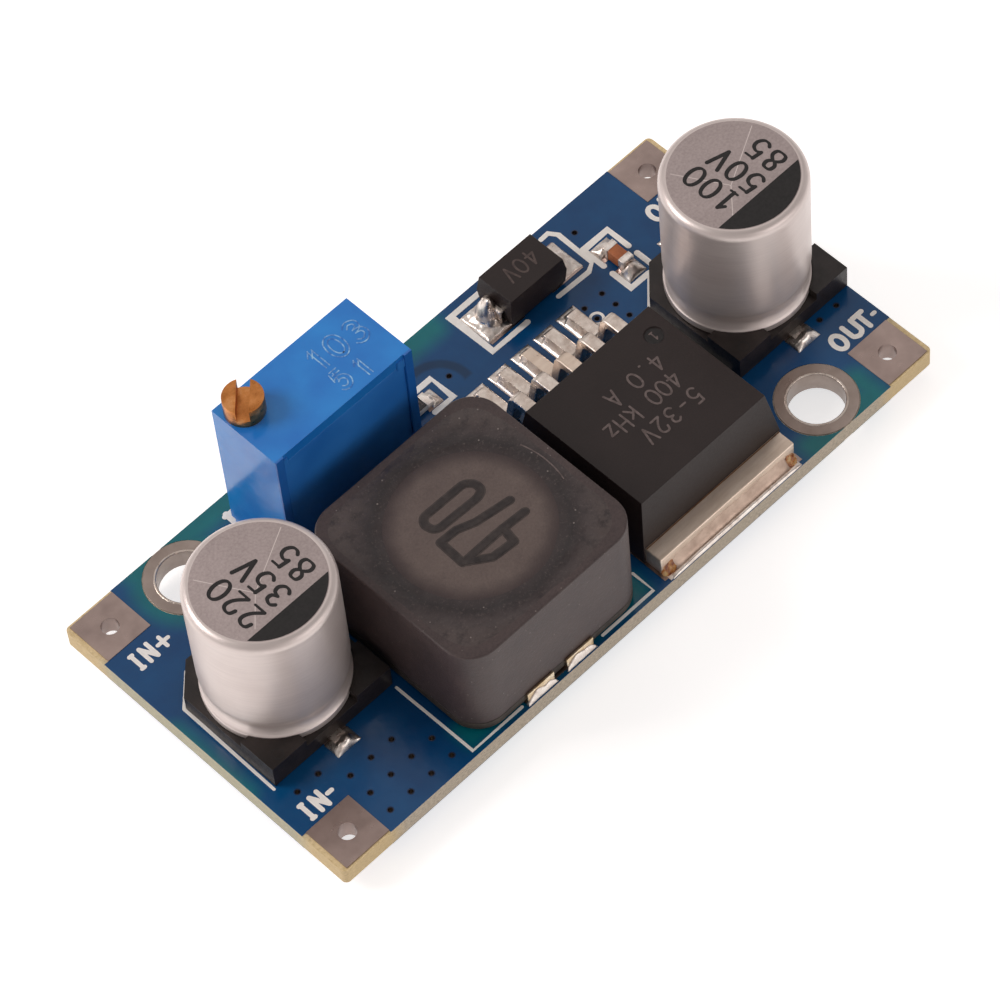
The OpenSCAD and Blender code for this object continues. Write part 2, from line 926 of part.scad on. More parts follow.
module trimmer_housing() {
  color("royalblue")
    on_trimmer()
      difference() {
        union() {
          translate([-trim_l / 2, front_y, trim_z0])
            cube([trim_l, trim_w / 2 - front_y, trim_top - trim_z0]);
          for (s = [-1, 1]) {
            translate([s * (trim_l - wall_end) / 2 - wall_end / 2, -trim_w / 2, trim_z0])
              cube([wall_end, cover_inset + eps, trim_top - trim_z0]);
            for (t = [-1, 1])
              at(s * (trim_l / 2 - 0.6), t * (trim_w / 2 - 0.75))
                slab(1.2, 0.9, board_t, trim_foot_h + eps);
          }
        }
        translate([0, -1, 0])
          cover_block(1);
        cover_block(1);
        element_plate();
        difference() {
          along_y(
            rotor_x, rotor_z, element_y1 - eps,
            trim_w / 2 - wall_side - element_y1, rotor_tip_r + 0.12
          );
          along_y(rotor_x, rotor_z, -trim_w, 2 * trim_w, axle_r);
        }
        along_y(rotor_x, rotor_z, -trim_w, trim_w + rotor_y0 - 0.05, axle_r + 1);
        translate([screw_x, screw_y, worm_z0 - 0.1])
          cylinder(r = bore_r, h = 2 * trim_h);
        translate([screw_x, screw_y, cavity_z0 - 0.2])
          cylinder(r = 0.5 + run_gap, h = worm_z0);
        trimmer_pin_set();
      }
}

module trimmer_cover() {
  color("navy")
    on_trimmer()
      difference() {
        cover_block(0);
        trimmer_pin_set();
      }
}

module trimmer_element() {
  color("white")
    on_trimmer()
      element_plate();
}

module trimmer_track() {
  color("black")
    on_trimmer()
      translate([rotor_x, element_y1 + track_t, rotor_z])
        rotate([90, 0, 0])
          difference() {
            cylinder(r = track_r, h = track_t);
            translate([0, 0, -1])
              cylinder(r = track_r - track_w, h = 2);
            translate([0, -track_r, 0])
              cube([0.4 * track_r, 2 * track_r, 2], center = true);
          }
}

module trimmer_pins() {
  color("silver")
    on_trimmer()
      trimmer_pin_set();
}

// Turning screw: slotted head, sealed neck, single-start worm, lower pivot
module trimmer_screw() {
  offset_r = (crest_r - root_r) / 2;
  mid_r = (crest_r + root_r) / 2;
  color("darkgoldenrod")
    on_trimmer()
      translate([screw_x, screw_y, 0])
        difference() {
          union() {
            translate([0, 0, trim_top])
              cylinder(r = screw_head_r, h = screw_head_h);
            translate([0, 0, cavity_top + 0.2])
              cylinder(r = crest_r, h = trim_top - cavity_top - 0.2);
            translate([0, 0, worm_z0 + worm_h - 0.1])
              cylinder(r = root_r, h = cavity_top + 0.4 - worm_z0 - worm_h);
            rotate([0, 0, 180 - 360 * worm_turns / 2])
              translate([0, 0, worm_z0])
                linear_extrude(
                  height = worm_h, twist = -360 * worm_turns,
                  slices = 10 * worm_turns, segments = 0
                )
                  translate([offset_r, 0])
                    circle(r = mid_r, $fn = 14);
            translate([0, 0, cavity_z0])
              cylinder(r = 0.5, h = worm_z0 - cavity_z0 + 0.1);
          }
          translate([0, 0, seal_z])
            rotate_extrude()
              translate([root_r, -0.2])
                square([1, 0.4]);
          translate([0, 0, trim_top + screw_head_h])
            rotate([0, 0, 45])
              cube([4, screw_slot_w, 2 * screw_slot_d], center = true);
        }
}

module trimmer_seal() {
  color("black")
    on_trimmer()
      translate([screw_x, screw_y, seal_z])
        rotate_extrude()
          translate([bore_r - seal_tube_r, 0])
            circle(r = seal_tube_r, $fn = 24);
}

// Gear seen along its axle, one tooth pointing at the worm
module gear_outline() {
  circle(r = rotor_root_r, $fn = 75);
  for (i = [0 : rotor_teeth - 1])
    rotate(180 + i * 360 / rotor_teeth)
      polygon([
        [rotor_root_r - 0.1, -0.2], [rotor_tip_r, -0.09], [rotor_tip_r, 0.09], [rotor_root_r - 0.1, 0.2]
      ]);
}

module trimmer_rotor() {
  color("whitesmoke")
    on_trimmer()
      difference() {
        translate([rotor_x, rotor_y0 + rotor_w, rotor_z])
          rotate([90, 0, 0])
            linear_extrude(height = rotor_w)
              gear_outline();
        along_y(rotor_x, rotor_z, -trim_w, 2 * trim_w, axle_r + run_gap);
      }
}

// Spring contact riveted to the rotor, with two fingers that reach for the track
module trimmer_wiper() {
  tip_y = element_y1 + track_t + 0.02;
  finger_w = 0.06 * rotor_tip_r;
  finger_pitch = 1.5 * finger_w;
  color("gold")
    on_trimmer()
      difference() {
        translate([rotor_x, 0, rotor_z]) {
          along_y(0, 0, rotor_y0 - 0.1, 0.1, 1.5);
          for (s = [0, 1])
            translate([(s - 0.67) * finger_pitch, tip_y, track_r - 1.5 * track_w])
              cube([finger_w, rotor_y0 - tip_y, 1.12 * track_w]);
        }
        translate([rotor_x - track_w, tip_y + 0.1, rotor_z + track_r - 1.25 * track_w])
          cube([2 * track_w, rotor_y0, 0.62 * track_w]);
        along_y(rotor_x, rotor_z, -trim_w, 2 * trim_w, axle_r + run_gap);
      }
}

// Low solder slope of a x b at its foot and c x d at its top
module solder_slope(x, y, a, b, c, d, h) {
  at(x, y)
    taper(a, b, c, d, deck, h);
}

module solder_ic_tab() {
  w = ic_tab_w;
  color("lightgray")
    at(ic_x, 0)
      swept_x(w - 0.3)
        polygon([
          [ic_tab_edge_y, deck], [ic_tab_edge_y, deck + ic_tab_t * 0.75],
          [ic_tab_edge_y - 0.12, deck + 0.4], [ic_land_y0 + 0.02, deck]
        ]);
}

module solder_ic_leads() {
  color("lightgray")
    difference() {
      for (i = [-2 : 2])
        solder_slope(ic_x - 0.15 + i * ic_pitch, ic_lead_tip_y - 0.85, 1.15, 2.1, 0.95, 1.8, 0.4);
      ic_side_leads();
      ic_tab_and_lead();
    }
}

module solder_diode() {
  color("lightgray")
    difference() {
      union() {
        solder_slope(diode_x - diode_span - 0.35, diode_y, 1.45, 2.3, 0.5, 1.6, 1);
        solder_slope(diode_x + diode_span + 0.25, diode_y, 1.3, 2.2, 0.5, 1.4, 0.5);
      }
      both_diode_leads();
      at(diode_x, diode_y)
        slab(diode_l + 0.1, 4, deck - 1, 5);
    }
}

module solder_chip_parts() {
  color("lightgray")
    for (s = [-1, 1]) {
      difference() {
        solder_slope(mlcc_x, mlcc_y + s * 1.1, 1.3, 0.8, 1.1, 0.3, 0.5);
        at(mlcc_x, mlcc_y)
          slab(mlcc_w, mlcc_l, deck - 1, 5);
      }
      difference() {
        solder_slope(res_x + s * 0.9, res_y, 0.8, 0.9, 0.3, 0.7, 0.3);
        at(res_x, res_y)
          slab(res_l, res_w, deck - 1, 5);
      }
    }
}

module solder_capacitors() {
  reach = cap_foot_reach;
  color("lightgray")
    for (x = [cap_in_x, cap_out_x])
      for (s = [-1, 1])
        difference() {
          solder_slope(x, cap_y + s * (reach - 0.3), 1.45, 1, 0.95, 0.6, 0.45);
          at(x, cap_y)
            cap_terminals();
          at(x, cap_y)
            slab(cap_base_side, cap_base_side, deck - 1, 5);
        }
}

module solder_choke() {
  edge = choke_side / 2 + clip_t;
  reach = 0.14;
  color("lightgray")
    for (s = [-1, 1])
      for (t = [-1, 1])
        at(choke_x - 0.35 + t * (clip_w + clip_gap) / 4, choke_y)
          scale([1, s, 1])
            swept_x((clip_w - clip_gap) / 2)
              polygon([[edge, deck], [edge + reach, deck], [edge, deck + 0.5]]);
}

module solder_trimmer() {
  color("lightgray")
    at_pins()
      rotate_extrude()
        polygon([
          [pin_r, board_t], [pin_hole_r, board_t], [pin_hole_r, 0], [0.8, 0], [0.45, -0.3],
          [0.3, -pin_out + 0.1], [pin_r, -pin_out + 0.1]
        ]);
}

pcb_laminate();
mask_top();
mask_bottom();
corner_pads();
mounting_rings();
component_lands();
via_barrels();
trimmer_lands();
cap_in_base();
cap_in_can();
cap_in_bung();
cap_in_roll();
cap_in_terminals();
cap_out_base();
cap_out_can();
cap_out_bung();
cap_out_roll();
cap_out_terminals();
choke_shield();
choke_drum();
choke_winding();
choke_resin();
choke_base();
choke_clips();
ic_body();
ic_tab();
ic_leads();
ic_die();
diode_body();
diode_leads();
diode_die();
mlcc_body();
mlcc_end_caps();
resistor_body();
resistor_glaze();
resistor_end_caps();
trimmer_housing();
trimmer_cover();
trimmer_screw();
trimmer_seal();
trimmer_rotor();
trimmer_wiper();
trimmer_element();
trimmer_track();
trimmer_pins();
solder_ic_tab();
solder_ic_leads();
solder_diode();
solder_chip_parts();
solder_capacitors();
solder_choke();
solder_trimmer();
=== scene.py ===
"""Looks for the DC-DC converter module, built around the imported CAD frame.

Every shape below is written in millimetres in the frame's own axes and turned into metres when its mesh is made:
X runs from the input end to the output end, Y across the board, Z up from the board's underside.
"""

import json
import math

import bmesh
import bpy
from mathutils import Matrix, Vector, noise

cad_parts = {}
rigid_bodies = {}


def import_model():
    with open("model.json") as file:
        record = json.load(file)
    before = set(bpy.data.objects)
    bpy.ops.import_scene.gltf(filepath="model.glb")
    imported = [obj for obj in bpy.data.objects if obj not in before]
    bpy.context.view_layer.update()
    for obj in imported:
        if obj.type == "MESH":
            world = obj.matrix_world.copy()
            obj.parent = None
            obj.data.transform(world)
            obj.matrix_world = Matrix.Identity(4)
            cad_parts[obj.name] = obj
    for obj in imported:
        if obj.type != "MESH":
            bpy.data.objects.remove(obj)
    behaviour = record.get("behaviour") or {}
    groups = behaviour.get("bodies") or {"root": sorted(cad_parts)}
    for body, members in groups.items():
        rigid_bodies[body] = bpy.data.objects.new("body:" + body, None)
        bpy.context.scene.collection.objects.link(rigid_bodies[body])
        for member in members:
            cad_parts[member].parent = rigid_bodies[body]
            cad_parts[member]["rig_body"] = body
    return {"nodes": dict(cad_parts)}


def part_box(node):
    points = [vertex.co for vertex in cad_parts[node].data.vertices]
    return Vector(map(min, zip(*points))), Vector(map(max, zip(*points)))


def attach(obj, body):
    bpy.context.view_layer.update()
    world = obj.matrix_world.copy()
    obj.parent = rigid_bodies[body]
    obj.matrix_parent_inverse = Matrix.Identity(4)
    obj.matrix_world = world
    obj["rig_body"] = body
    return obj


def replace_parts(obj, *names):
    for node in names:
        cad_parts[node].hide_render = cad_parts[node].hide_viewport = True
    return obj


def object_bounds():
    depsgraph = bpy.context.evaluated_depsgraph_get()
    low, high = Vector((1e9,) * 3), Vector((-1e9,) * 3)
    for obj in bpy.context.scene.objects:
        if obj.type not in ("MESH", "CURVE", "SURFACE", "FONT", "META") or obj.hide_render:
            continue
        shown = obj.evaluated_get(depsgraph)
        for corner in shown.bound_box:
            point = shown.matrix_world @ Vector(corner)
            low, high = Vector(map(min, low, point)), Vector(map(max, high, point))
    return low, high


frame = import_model()
nodes = frame["nodes"]
cad_box = [list(v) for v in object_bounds()]
scene = bpy.context.scene
MM = 0.001


def box(node):
    """A CAD node's lowest and highest corners, in millimetres."""
    lo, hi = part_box(node)
    return lo / MM, hi / MM


def middle(node):
    """The middle of a CAD node in the board's plane."""
    lo, hi = box(node)
    return (lo.x + hi.x) / 2, (lo.y + hi.y) / 2


MASK_TOP = box("mask_top")[1].z
DECK = box("corner_pads")[1].z  # the lands' top, where the leads stand
MOUNT_IN, MOUNT_OUT = (-15.05, 8.12), (15.05, -8.12)
DRUM = (*middle("choke_drum"), 0)
LEAD_PITCH, TAB_T = 1.7, 1.27
SINK = 0.004  # print reaches this far into the face below it
STEP = 0.0007  # each stroke lies this much above the last, so that no two faces coincide
FOOT = 0.02  # solder reaches this far into the land below it


# ---- materials

def lin(r, g, b):
    """A colour given as 0 to 255 display values, in Blender's linear values."""
    def one(c):
        c /= 255
        return c / 12.92 if c <= 0.04045 else ((c + 0.055) / 1.055) ** 2.4
    return (one(r), one(g), one(b), 1)


def add(tree, kind, *values, **settings):
    """A new shader node, with its settings made and its inputs set or linked in their order."""
    n = tree.nodes.new("ShaderNode" + kind)
    for key, value in settings.items():
        setattr(n, key, value)
    for i, value in enumerate(values):
        if isinstance(value, bpy.types.NodeSocket):
            tree.links.new(value, n.inputs[i])
        elif value is not None:
            n.inputs[i].default_value = value
    return n


class Paint:
    """A node material whose patterns are laid out in millimetres on the object."""

    def __init__(self, name, colour, rough=0.5, metal=0.0, **sockets):
        self.m = bpy.data.materials.new(name)
        self.m.use_nodes = True
        self.tree = self.m.node_tree
        self.shader = self.tree.nodes["Principled BSDF"]
        self.at = self.node("TexCoord").outputs["Object"]
        self.at = self.stretched(1 / MM, 1 / MM, 1 / MM)
        self.put("Base Color", colour)
        self.put("Roughness", rough)
        self.put("Metallic", metal)
        for key, value in sockets.items():
            self.put(key.replace("_", " "), value)

    def link(self, a, b):
        self.tree.links.new(a, b)

    def put(self, socket, value):
        target = self.shader.inputs[socket]
        if isinstance(value, bpy.types.NodeSocket):
            self.link(value, target)
        else:
            target.default_value = value

    def colour(self, value):
        self.put("Base Color", value)

    def rough(self, pattern, smooth, dull, low=0.3):
        """Roughness that follows a pattern."""
        self.put("Roughness", self.ramp(pattern, (low, smooth), (0.7, dull)))

    def tones(self, pattern, dark, light, low=0.3, high=0.7):
        """A colour that follows a pattern from dark to light, both given as display values."""
        return self.ramp(pattern, (low, lin(*dark)), (high, lin(*light)))

    def done(self, colour, sheen, relief):
        """The material, with sheen as (pattern, smooth, dull) and relief as (pattern, depth)."""
        self.colour(colour)
        self.rough(*sheen)
        self.bump(*relief)
        return self.m

    def node(self, kind, *values, **settings):
        return add(self.tree, kind, *values, **settings)

    def math(self, operation, *values):
        return self.node("Math", *values, operation=operation).outputs[0]

    def vec(self, operation, a, b=None):
        n = self.node("VectorMath", a, b, operation=operation)
        return n.outputs["Value"] if operation in ("LENGTH", "DISTANCE") else n.outputs["Vector"]

    def stretched(self, x, y, z):
        return self.node("Mapping", self.at, (0, 0, 0), (0, 0, 0), (x, y, z)).outputs[0]

    def flat(self):
        return self.vec("MULTIPLY", self.at, (1, 1, 0))

    def noise(self, scale, detail=3.0, rough=0.5, at=None):
        return self.node("TexNoise", at or self.at, None, scale, detail, rough).outputs["Fac"]

    def cells(self, scale):
        return self.node("TexVoronoi", self.at, None, scale).outputs["Distance"]

    def ramp(self, value, *stops):
        n = self.node("ValToRGB", value)
        e = n.color_ramp.elements
        while len(e) < len(stops):
            e.new(0.5)
        for one, (place, colour) in zip(e, stops):
            one.position = place
            one.color = colour if hasattr(colour, "__len__") else (colour, colour, colour, 1)
        return n.outputs["Color"]

    def mix(self, share, a, b):
        """a where share is 0, b where it is 1."""
        return self.node("Mix", share, *[None] * 5, a, b, data_type="RGBA").outputs[2]

    def axis(self, name):
        return self.node("SeparateXYZ", self.at).outputs[name]

    def between(self, value, low, high):
        """0 below low, 1 above high, smooth in between."""
        n = self.node("MapRange", value, low, high, 0.0, 1.0, interpolation_type="SMOOTHSTEP")
        return n.outputs[0]

    def slab(self, x0, y0, x1, y1, r=0.6):
        """Distance in millimetres from a rounded rectangle in the board's plane, below zero inside."""
        middle = self.vec("SUBTRACT", self.flat(), ((x0 + x1) / 2, (y0 + y1) / 2, 0))
        half = ((x1 - x0) / 2 - r, (y1 - y0) / 2 - r, 1)
        over = self.vec("MAXIMUM", self.vec("SUBTRACT", self.vec("ABSOLUTE", middle), half), (0, 0, 0))
        return self.math("SUBTRACT", self.vec("LENGTH", over), r)

    def disc(self, x, y, r):
        """Distance in millimetres from a circle in the board's plane, below zero inside."""
        return self.math("SUBTRACT", self.vec("DISTANCE", self.flat(), (x, y, 0)), r)

    def least(self, *values):
        out = values[0]
        for one in values[1:]:
            out = self.math("MINIMUM", out, one)
        return out

    def bump(self, height, depth, onto=None):
        """Relief of this depth in millimetres, laid onto another relief if one is given."""
        n = self.tree.nodes.new("ShaderNodeBump")
        n.inputs["Strength"].default_value = 1.0
        n.inputs["Distance"].default_value = depth * MM
        self.link(height, n.inputs["Height"])
        if onto:
            self.link(onto, n.inputs["Normal"])
        self.put("Normal", n.outputs[0])
        return n.outputs[0]


def layered(name, colour, cloud, stops, sheen=None, relief=None, rough=0.5, metal=0.0, **sockets):
    """A surface whose colour, roughness and relief each follow noise of their own.

    cloud is the colour's noise and stops its tones. sheen is (noise, smooth, dull) and relief (noise, depth)."""
    p = Paint(name, lin(*colour), rough, metal, **sockets)
    p.colour(p.ramp(p.noise(*cloud), *[(place, lin(*tone)) for place, tone in stops]))
    if sheen:
        p.rough(p.noise(*sheen[0]), *sheen[1:])
    if relief:
        p.bump(p.noise(*relief[0]), relief[1])
    return p.m


def mottled(name, dark, light, scale, rough=(0.4, 0.6), metal=0.0, depth=0.01, grain=6.0):
    """A surface that wanders between two colours, with matching roughness and a fine grain."""
    return layered(name, light, (scale, 5, 0.6), ((0.32, dark), (0.68, light)), ((scale * 2.3, 4), *rough),
                   ((grain, 4, 0.6), depth), metal=metal)


def mask_blue():
    """Blue lacquer over copper, greener where only laminate lies below it and darker along a curved band."""
    p = Paint("mask_blue", lin(18, 66, 112), 0.16, IOR=1.5, Specular_IOR_Level=0.36)
    # a curved band where the mask is made darker
    dark_arc = p.math("MAXIMUM", p.math("ABSOLUTE", p.disc(1.9, 6.72, 1.86)), p.slab(1.9, 6.6, 4.6, 9.4, 0.1))
    bare = p.least(p.disc(*MOUNT_IN, 2.8), p.slab(-17.3, 9.3, 5.2, 11.6),
                   p.slab(12.2, -11.4, 18.0, -9.3), p.slab(16.9, -11.4, 18.0, -8.2), p.slab(-22.6, -4.0, -21.3, 2.2),
                   p.slab(-12.1, -9.9, 0.7, -8.4, 0.3))
    copper = p.between(bare, -0.6, 0.75)
    cloud = p.noise(0.22, 4, 0.55)
    blue = p.tones(cloud, (2, 60, 108), (8, 78, 128))
    teal = p.tones(cloud, (2, 96, 106), (6, 118, 124))
    tint = p.mix(copper, teal, blue)
    dark = p.between(p.math("SUBTRACT", dark_arc, 0.26), -0.12, 0.12)
    return p.done(p.mix(dark, p.mix(0.6, tint, lin(8, 34, 54)), tint), (p.noise(1.4, 3), 0.13, 0.24),
                  (copper, 0.02, p.bump(p.noise(1.1, 3, 0.55), 0.012)))


def laminate():
    """Glass cloth at the cut edges as short bright strands in the resin, yellow where the corners are bare, and a
    painted highlight that makes the board's two ends paler.
    """
    p = Paint("laminate", lin(190, 180, 140), 0.6)
    strands = p.noise(1.0, 5, 0.7, p.stretched(5, 5, 16))
    tone = p.ramp(strands, (0.3, lin(136, 124, 110)), (0.5, lin(200, 188, 168)), (0.75, lin(240, 228, 210)))
    far_x = p.between(p.math("ABSOLUTE", p.axis("X")), 17.0, 18.6)
    far_y = p.between(p.math("ABSOLUTE", p.axis("Y")), 6.4, 8.2)
    corner = p.math("MULTIPLY", far_x, far_y)
    gold = p.mix(0.5, tone, lin(250, 216, 140))
    # painted highlight: the board's two ends, past 21.3 mm from the middle, are made paler
    side = p.between(p.math("ABSOLUTE", p.axis("X")), 21.3, 21.45)
    tone = p.mix(p.math("MULTIPLY", side, 0.5), tone, lin(196, 200, 168))
    return p.done(p.mix(corner, tone, gold), (strands, 0.5, 0.75), (strands, 0.03))


def via_wall():
    """Plated walls of the small holes, with the mask drawn over their rims."""
    p = Paint("via_wall", lin(120, 98, 82), 0.4)
    rim = p.between(p.axis("Z"), 1.16, 1.19)
    p.colour(p.mix(rim, lin(112, 92, 76), lin(6, 40, 76)))
    p.put("Metallic", p.mix(rim, (0.8, 0.8, 0.8, 1), (0, 0, 0, 1)))
    p.rough(p.noise(3.0, 3), 0.3, 0.45)
    return p.m


def aluminium():
    """Drawn aluminium: satin, with faint lines round the wall."""
    p = Paint("aluminium", lin(206, 192, 186), metal=0.6)
    drawn = p.noise(1.0, 5, 0.6, p.stretched(0.25, 0.25, 9))
    cloud = p.noise(0.35, 3)
    tone = p.mix(0.35, p.tones(cloud, (216, 203, 199), (230, 219, 215)),
                 p.tones(drawn, (200, 188, 184), (228, 218, 214)))
    return p.done(tone, (drawn, 0.34, 0.44), (drawn, 0.006))


def can_top():
    p = Paint("can_top", lin(176, 164, 162), metal=0.85)
    cloud = p.noise(0.5, 5, 0.65)
    specks = p.noise(7.0, 3, 0.6)
    tone = p.mix(0.5, p.tones(cloud, (170, 156, 154), (198, 184, 182)),
                 p.tones(specks, (166, 152, 150), (202, 190, 188)))
    return p.done(tone, (cloud, 0.5, 0.62), (specks, 0.008))


def ferrite():
    """Pressed powder, matt, with pale specks and small chips."""
    p = Paint("ferrite", lin(66, 57, 57), 0.5)
    grain = p.noise(6.5, 5, 0.7)
    specks = p.cells(1.9)
    tone = p.tones(p.noise(0.5, 5, 0.6), (57, 44, 45), (76, 61, 60))
    tone = p.mix(0.35, tone, p.tones(grain, (38, 30, 30), (94, 81, 78), high=0.72))
    tone = p.mix(p.ramp(specks, (0.045, 1.0), (0.09, 0.0)), tone, lin(122, 112, 108))
    return p.done(tone, (grain, 0.42, 0.6), (grain, 0.02, p.bump(p.noise(1.3, 4, 0.6), 0.03)))


def ferrite_disc():
    """The drum's face: paler in the middle, darker and redder towards the rim."""
    p = Paint("ferrite_disc", lin(92, 80, 78), 0.55)
    grain = p.noise(8, 4, 0.7)
    tone = p.mix(0.35, p.tones(p.noise(0.6, 5, 0.6), (90, 76, 72), (106, 92, 86)),
                 p.tones(grain, (70, 58, 56), (120, 106, 100), high=0.72))
    out = p.math("MULTIPLY_ADD", p.noise(0.8, 4, 0.6), 0.5, p.vec("DISTANCE", p.flat(), DRUM))
    rim = p.between(out, 3.6, 4.75)
    return p.done(p.mix(rim, tone, p.mix(0.85, tone, lin(50, 37, 38))), (grain, 0.5, 0.7), (grain, 0.02))


def resin():
    """Potting resin: almost black where it lies deep round the drum, browner where it thins out over the shield."""
    p = Paint("resin", lin(40, 33, 35), 0.4)
    out = p.vec("DISTANCE", p.flat(), DRUM)
    out = p.math("MULTIPLY_ADD", p.noise(0.6, 5, 0.6), 1.1, out)
    tone = p.ramp(p.between(out, 4.9, 7.6), (0.0, lin(48, 38, 38)), (0.14, lin(34, 26, 27)), (0.42, lin(58, 48, 48)),
                  (0.9, lin(74, 63, 61)))
    tone = p.mix(p.between(p.noise(1.1, 6, 0.72), 0.46, 0.7), tone, lin(42, 33, 34))
    tone = p.mix(p.between(p.noise(6.5, 4, 0.7), 0.52, 0.85), tone, lin(92, 80, 77))
    tone = p.mix(p.ramp(p.cells(1.5), (0.05, 1.0), (0.09, 0.0)), tone, lin(126, 116, 112))
    return p.done(tone, (p.noise(0.9, 4), 0.3, 0.5), (p.noise(5, 4, 0.6), 0.02, p.bump(p.noise(0.8, 4, 0.55), 0.1)))


def mould():
    """Moulded epoxy of the chip: matt, very fine, slightly warm."""
    p = Paint("mould", lin(40, 33, 33), 0.5, Specular_IOR_Level=0.4)
    grain = p.noise(9, 4, 0.65)
    tone = p.mix(0.5, p.tones(p.noise(0.4, 4), (32, 22, 21), (43, 32, 31)),
                 p.tones(grain, (27, 19, 18), (46, 36, 34)))
    return p.done(tone, (grain, 0.42, 0.58), (grain, 0.01))


def tab_metal():
    """Sheared copper tab, tinned: fine lines along the cut and a warm cast."""
    p = Paint("tab_metal", lin(200, 180, 160), metal=0.9)
    drawn = p.noise(1.0, 5, 0.65, p.stretched(0.5, 3.0, 3.0))
    worn = p.between(p.noise(0.7, 5, 0.7), 0.62, 0.76)
    tone = p.mix(worn, p.tones(drawn, (222, 202, 184), (240, 224, 208)), lin(150, 124, 108))
    return p.done(tone, (p.noise(2.0, 4), 0.38, 0.52), (p.noise(6, 3, 0.6), 0.008))


def trimmer_blue():
    """Injection-moulded nylon, smooth and slightly cloudy, with painted shade on the face towards the board's near
    side.
    """
    p = Paint("trimmer_blue", lin(40, 116, 200), 0.2, IOR=1.5)
    cloud = p.noise(0.35, 4, 0.55)
    # painted shade: the face towards the board's near side takes the cover's darker blue
    shaded_front = p.between(p.axis("Y"), 4.24, 4.4)
    tone = p.mix(shaded_front, lin(36, 104, 186), p.tones(cloud, (18, 118, 206), (32, 138, 222)))
    return p.done(tone, (p.noise(1.6, 4), 0.14, 0.26), (p.noise(1.4, 3, 0.5), 0.01))


def brass():
    p = Paint("brass", lin(206, 138, 78), metal=1.0)
    tone = p.ramp(p.noise(1.5, 5, 0.65), (0.3, lin(160, 98, 50)), (0.55, lin(206, 136, 78)),
                  (0.78, lin(234, 176, 120)))
    return p.done(tone, (p.noise(3, 4), 0.26, 0.44), (p.noise(1.0, 4, 0.6, p.stretched(2, 2, 14)), 0.02))


# Surfaces that only wander between two tones: name, dark, light, scale, then roughness and the rest.
MOTTLED = {
    "silk": ("silkscreen", (244, 240, 234), (255, 252, 247), 1.2, dict(rough=(0.4, 0.55), depth=0.006, grain=9)),
    "ring": ("ring_metal", (142, 128, 120), (164, 150, 142), 0.5, dict(rough=(0.26, 0.4), metal=1.0, grain=1.5)),
    "print_black": ("print_black", (13, 10, 10), (22, 18, 18), 2.5, dict(depth=0.004, grain=12)),
    "rubber": ("rubber", (20, 19, 19), (34, 32, 32), 1.5, dict(rough=(0.6, 0.8))),
    "roll": ("foil_roll", (150, 146, 138), (196, 192, 182), 2, dict(rough=(0.35, 0.55), metal=0.6, depth=0.02)),
    "disc_shade": ("disc_shade", (52, 44, 43), (74, 65, 62), 1.8, dict(rough=(0.6, 0.8))),
    "disc_print": ("disc_print", (38, 32, 32), (60, 52, 50), 1.8, dict(rough=(0.6, 0.8))),
    "copper": ("winding", (150, 70, 34), (196, 104, 56), 1.5,
               dict(rough=(0.25, 0.4), metal=1.0, depth=0.03, grain=8)),
    "base_board": ("base_board", (44, 38, 34), (66, 58, 50), 1.5, dict(rough=(0.5, 0.7), depth=0.02)),
    "laser_mark": ("laser_mark", (84, 72, 70), (116, 103, 100), 3, dict(rough=(0.6, 0.8), grain=10)),
    "laser_faint": ("laser_faint", (66, 54, 52), (94, 80, 76), 3, dict(rough=(0.6, 0.8), grain=10)),
    "tab_solder": ("tab_solder", (168, 146, 132), (200, 178, 162), 1.1,
                   dict(rough=(0.34, 0.48), metal=0.9, depth=0.015, grain=2.5)),
    "joint": ("joint_stain", (92, 62, 42), (142, 100, 68), 2.5, dict(depth=0.005)),
    "silicon": ("silicon", (70, 74, 80), (96, 100, 108), 2, dict(rough=(0.1, 0.25), metal=0.7, depth=0.004)),
    "chip_ceramic": ("chip_ceramic", (150, 82, 44), (184, 108, 62), 1.8, dict(rough=(0.4, 0.55))),
    "alumina": ("alumina", (206, 204, 198), (230, 228, 222), 2, dict(depth=0.008)),
    "glaze": ("glaze", (22, 20, 22), (40, 36, 38), 2, dict(rough=(0.18, 0.3), depth=0.006)),
    "gear": ("gear", (216, 214, 204), (238, 236, 228), 1.5, dict(rough=(0.35, 0.5))),
}
M = {"mask": mask_blue(), "laminate": laminate(), "via": via_wall(), "can": aluminium(), "can_top": can_top(),
     "ferrite": ferrite(), "disc": ferrite_disc(), "resin": resin(), "mould": mould(), "tab": tab_metal(),
     "trimmer_blue": trimmer_blue(), "brass": brass()}
M.update((key, mottled(name, dark, light, scale, **rest))
         for key, (name, dark, light, scale, rest) in MOTTLED.items())
# dull where the flux dried, bright where the solder was levelled
M["tinned"] = layered(
    "tinned", (176, 160, 150), (0.5, 4, 0.55), ((0.3, (150, 133, 127)), (0.7, (176, 157, 150))),
    ((1.8, 4), 0.26, 0.38), ((1.2, 3, 0.5), 0.012), metal=1.0)
M["solder"] = layered(
    "solder", (214, 206, 200), (2.2, 4, 0.6),
    ((0.3, (200, 186, 176)), (0.5, (236, 226, 218)), (0.8, (252, 248, 242))),
    ((3.5, 3), 0.26, 0.42, 0.35), ((1.8, 3, 0.5), 0.012), metal=1.0)
M["leadframe"] = layered(
    "leadframe", (200, 190, 180), (1.6, 5, 0.62),
    ((0.3, (186, 170, 158)), (0.55, (220, 208, 198)), (0.75, (240, 232, 222))),
    ((3.0, 4), 0.22, 0.42), ((4.0, 3, 0.6), 0.02), metal=1.0)
M["clip"] = layered(
    "clip_metal", (226, 206, 166), (1.8, 4), ((0.3, (206, 180, 140)), (0.7, (246, 234, 212))),
    ((3, 3), 0.2, 0.4), ((3.5, 3), 0.03), metal=1.0)
M["flux"] = layered(
    "flux", (190, 96, 38), (3.6, 4), ((0.35, (140, 66, 24)), (0.5, (206, 132, 60)), (0.66, (246, 206, 140))),
    relief=((4.5, 3), 0.06), rough=0.12, Transmission_Weight=0.35, IOR=1.5)
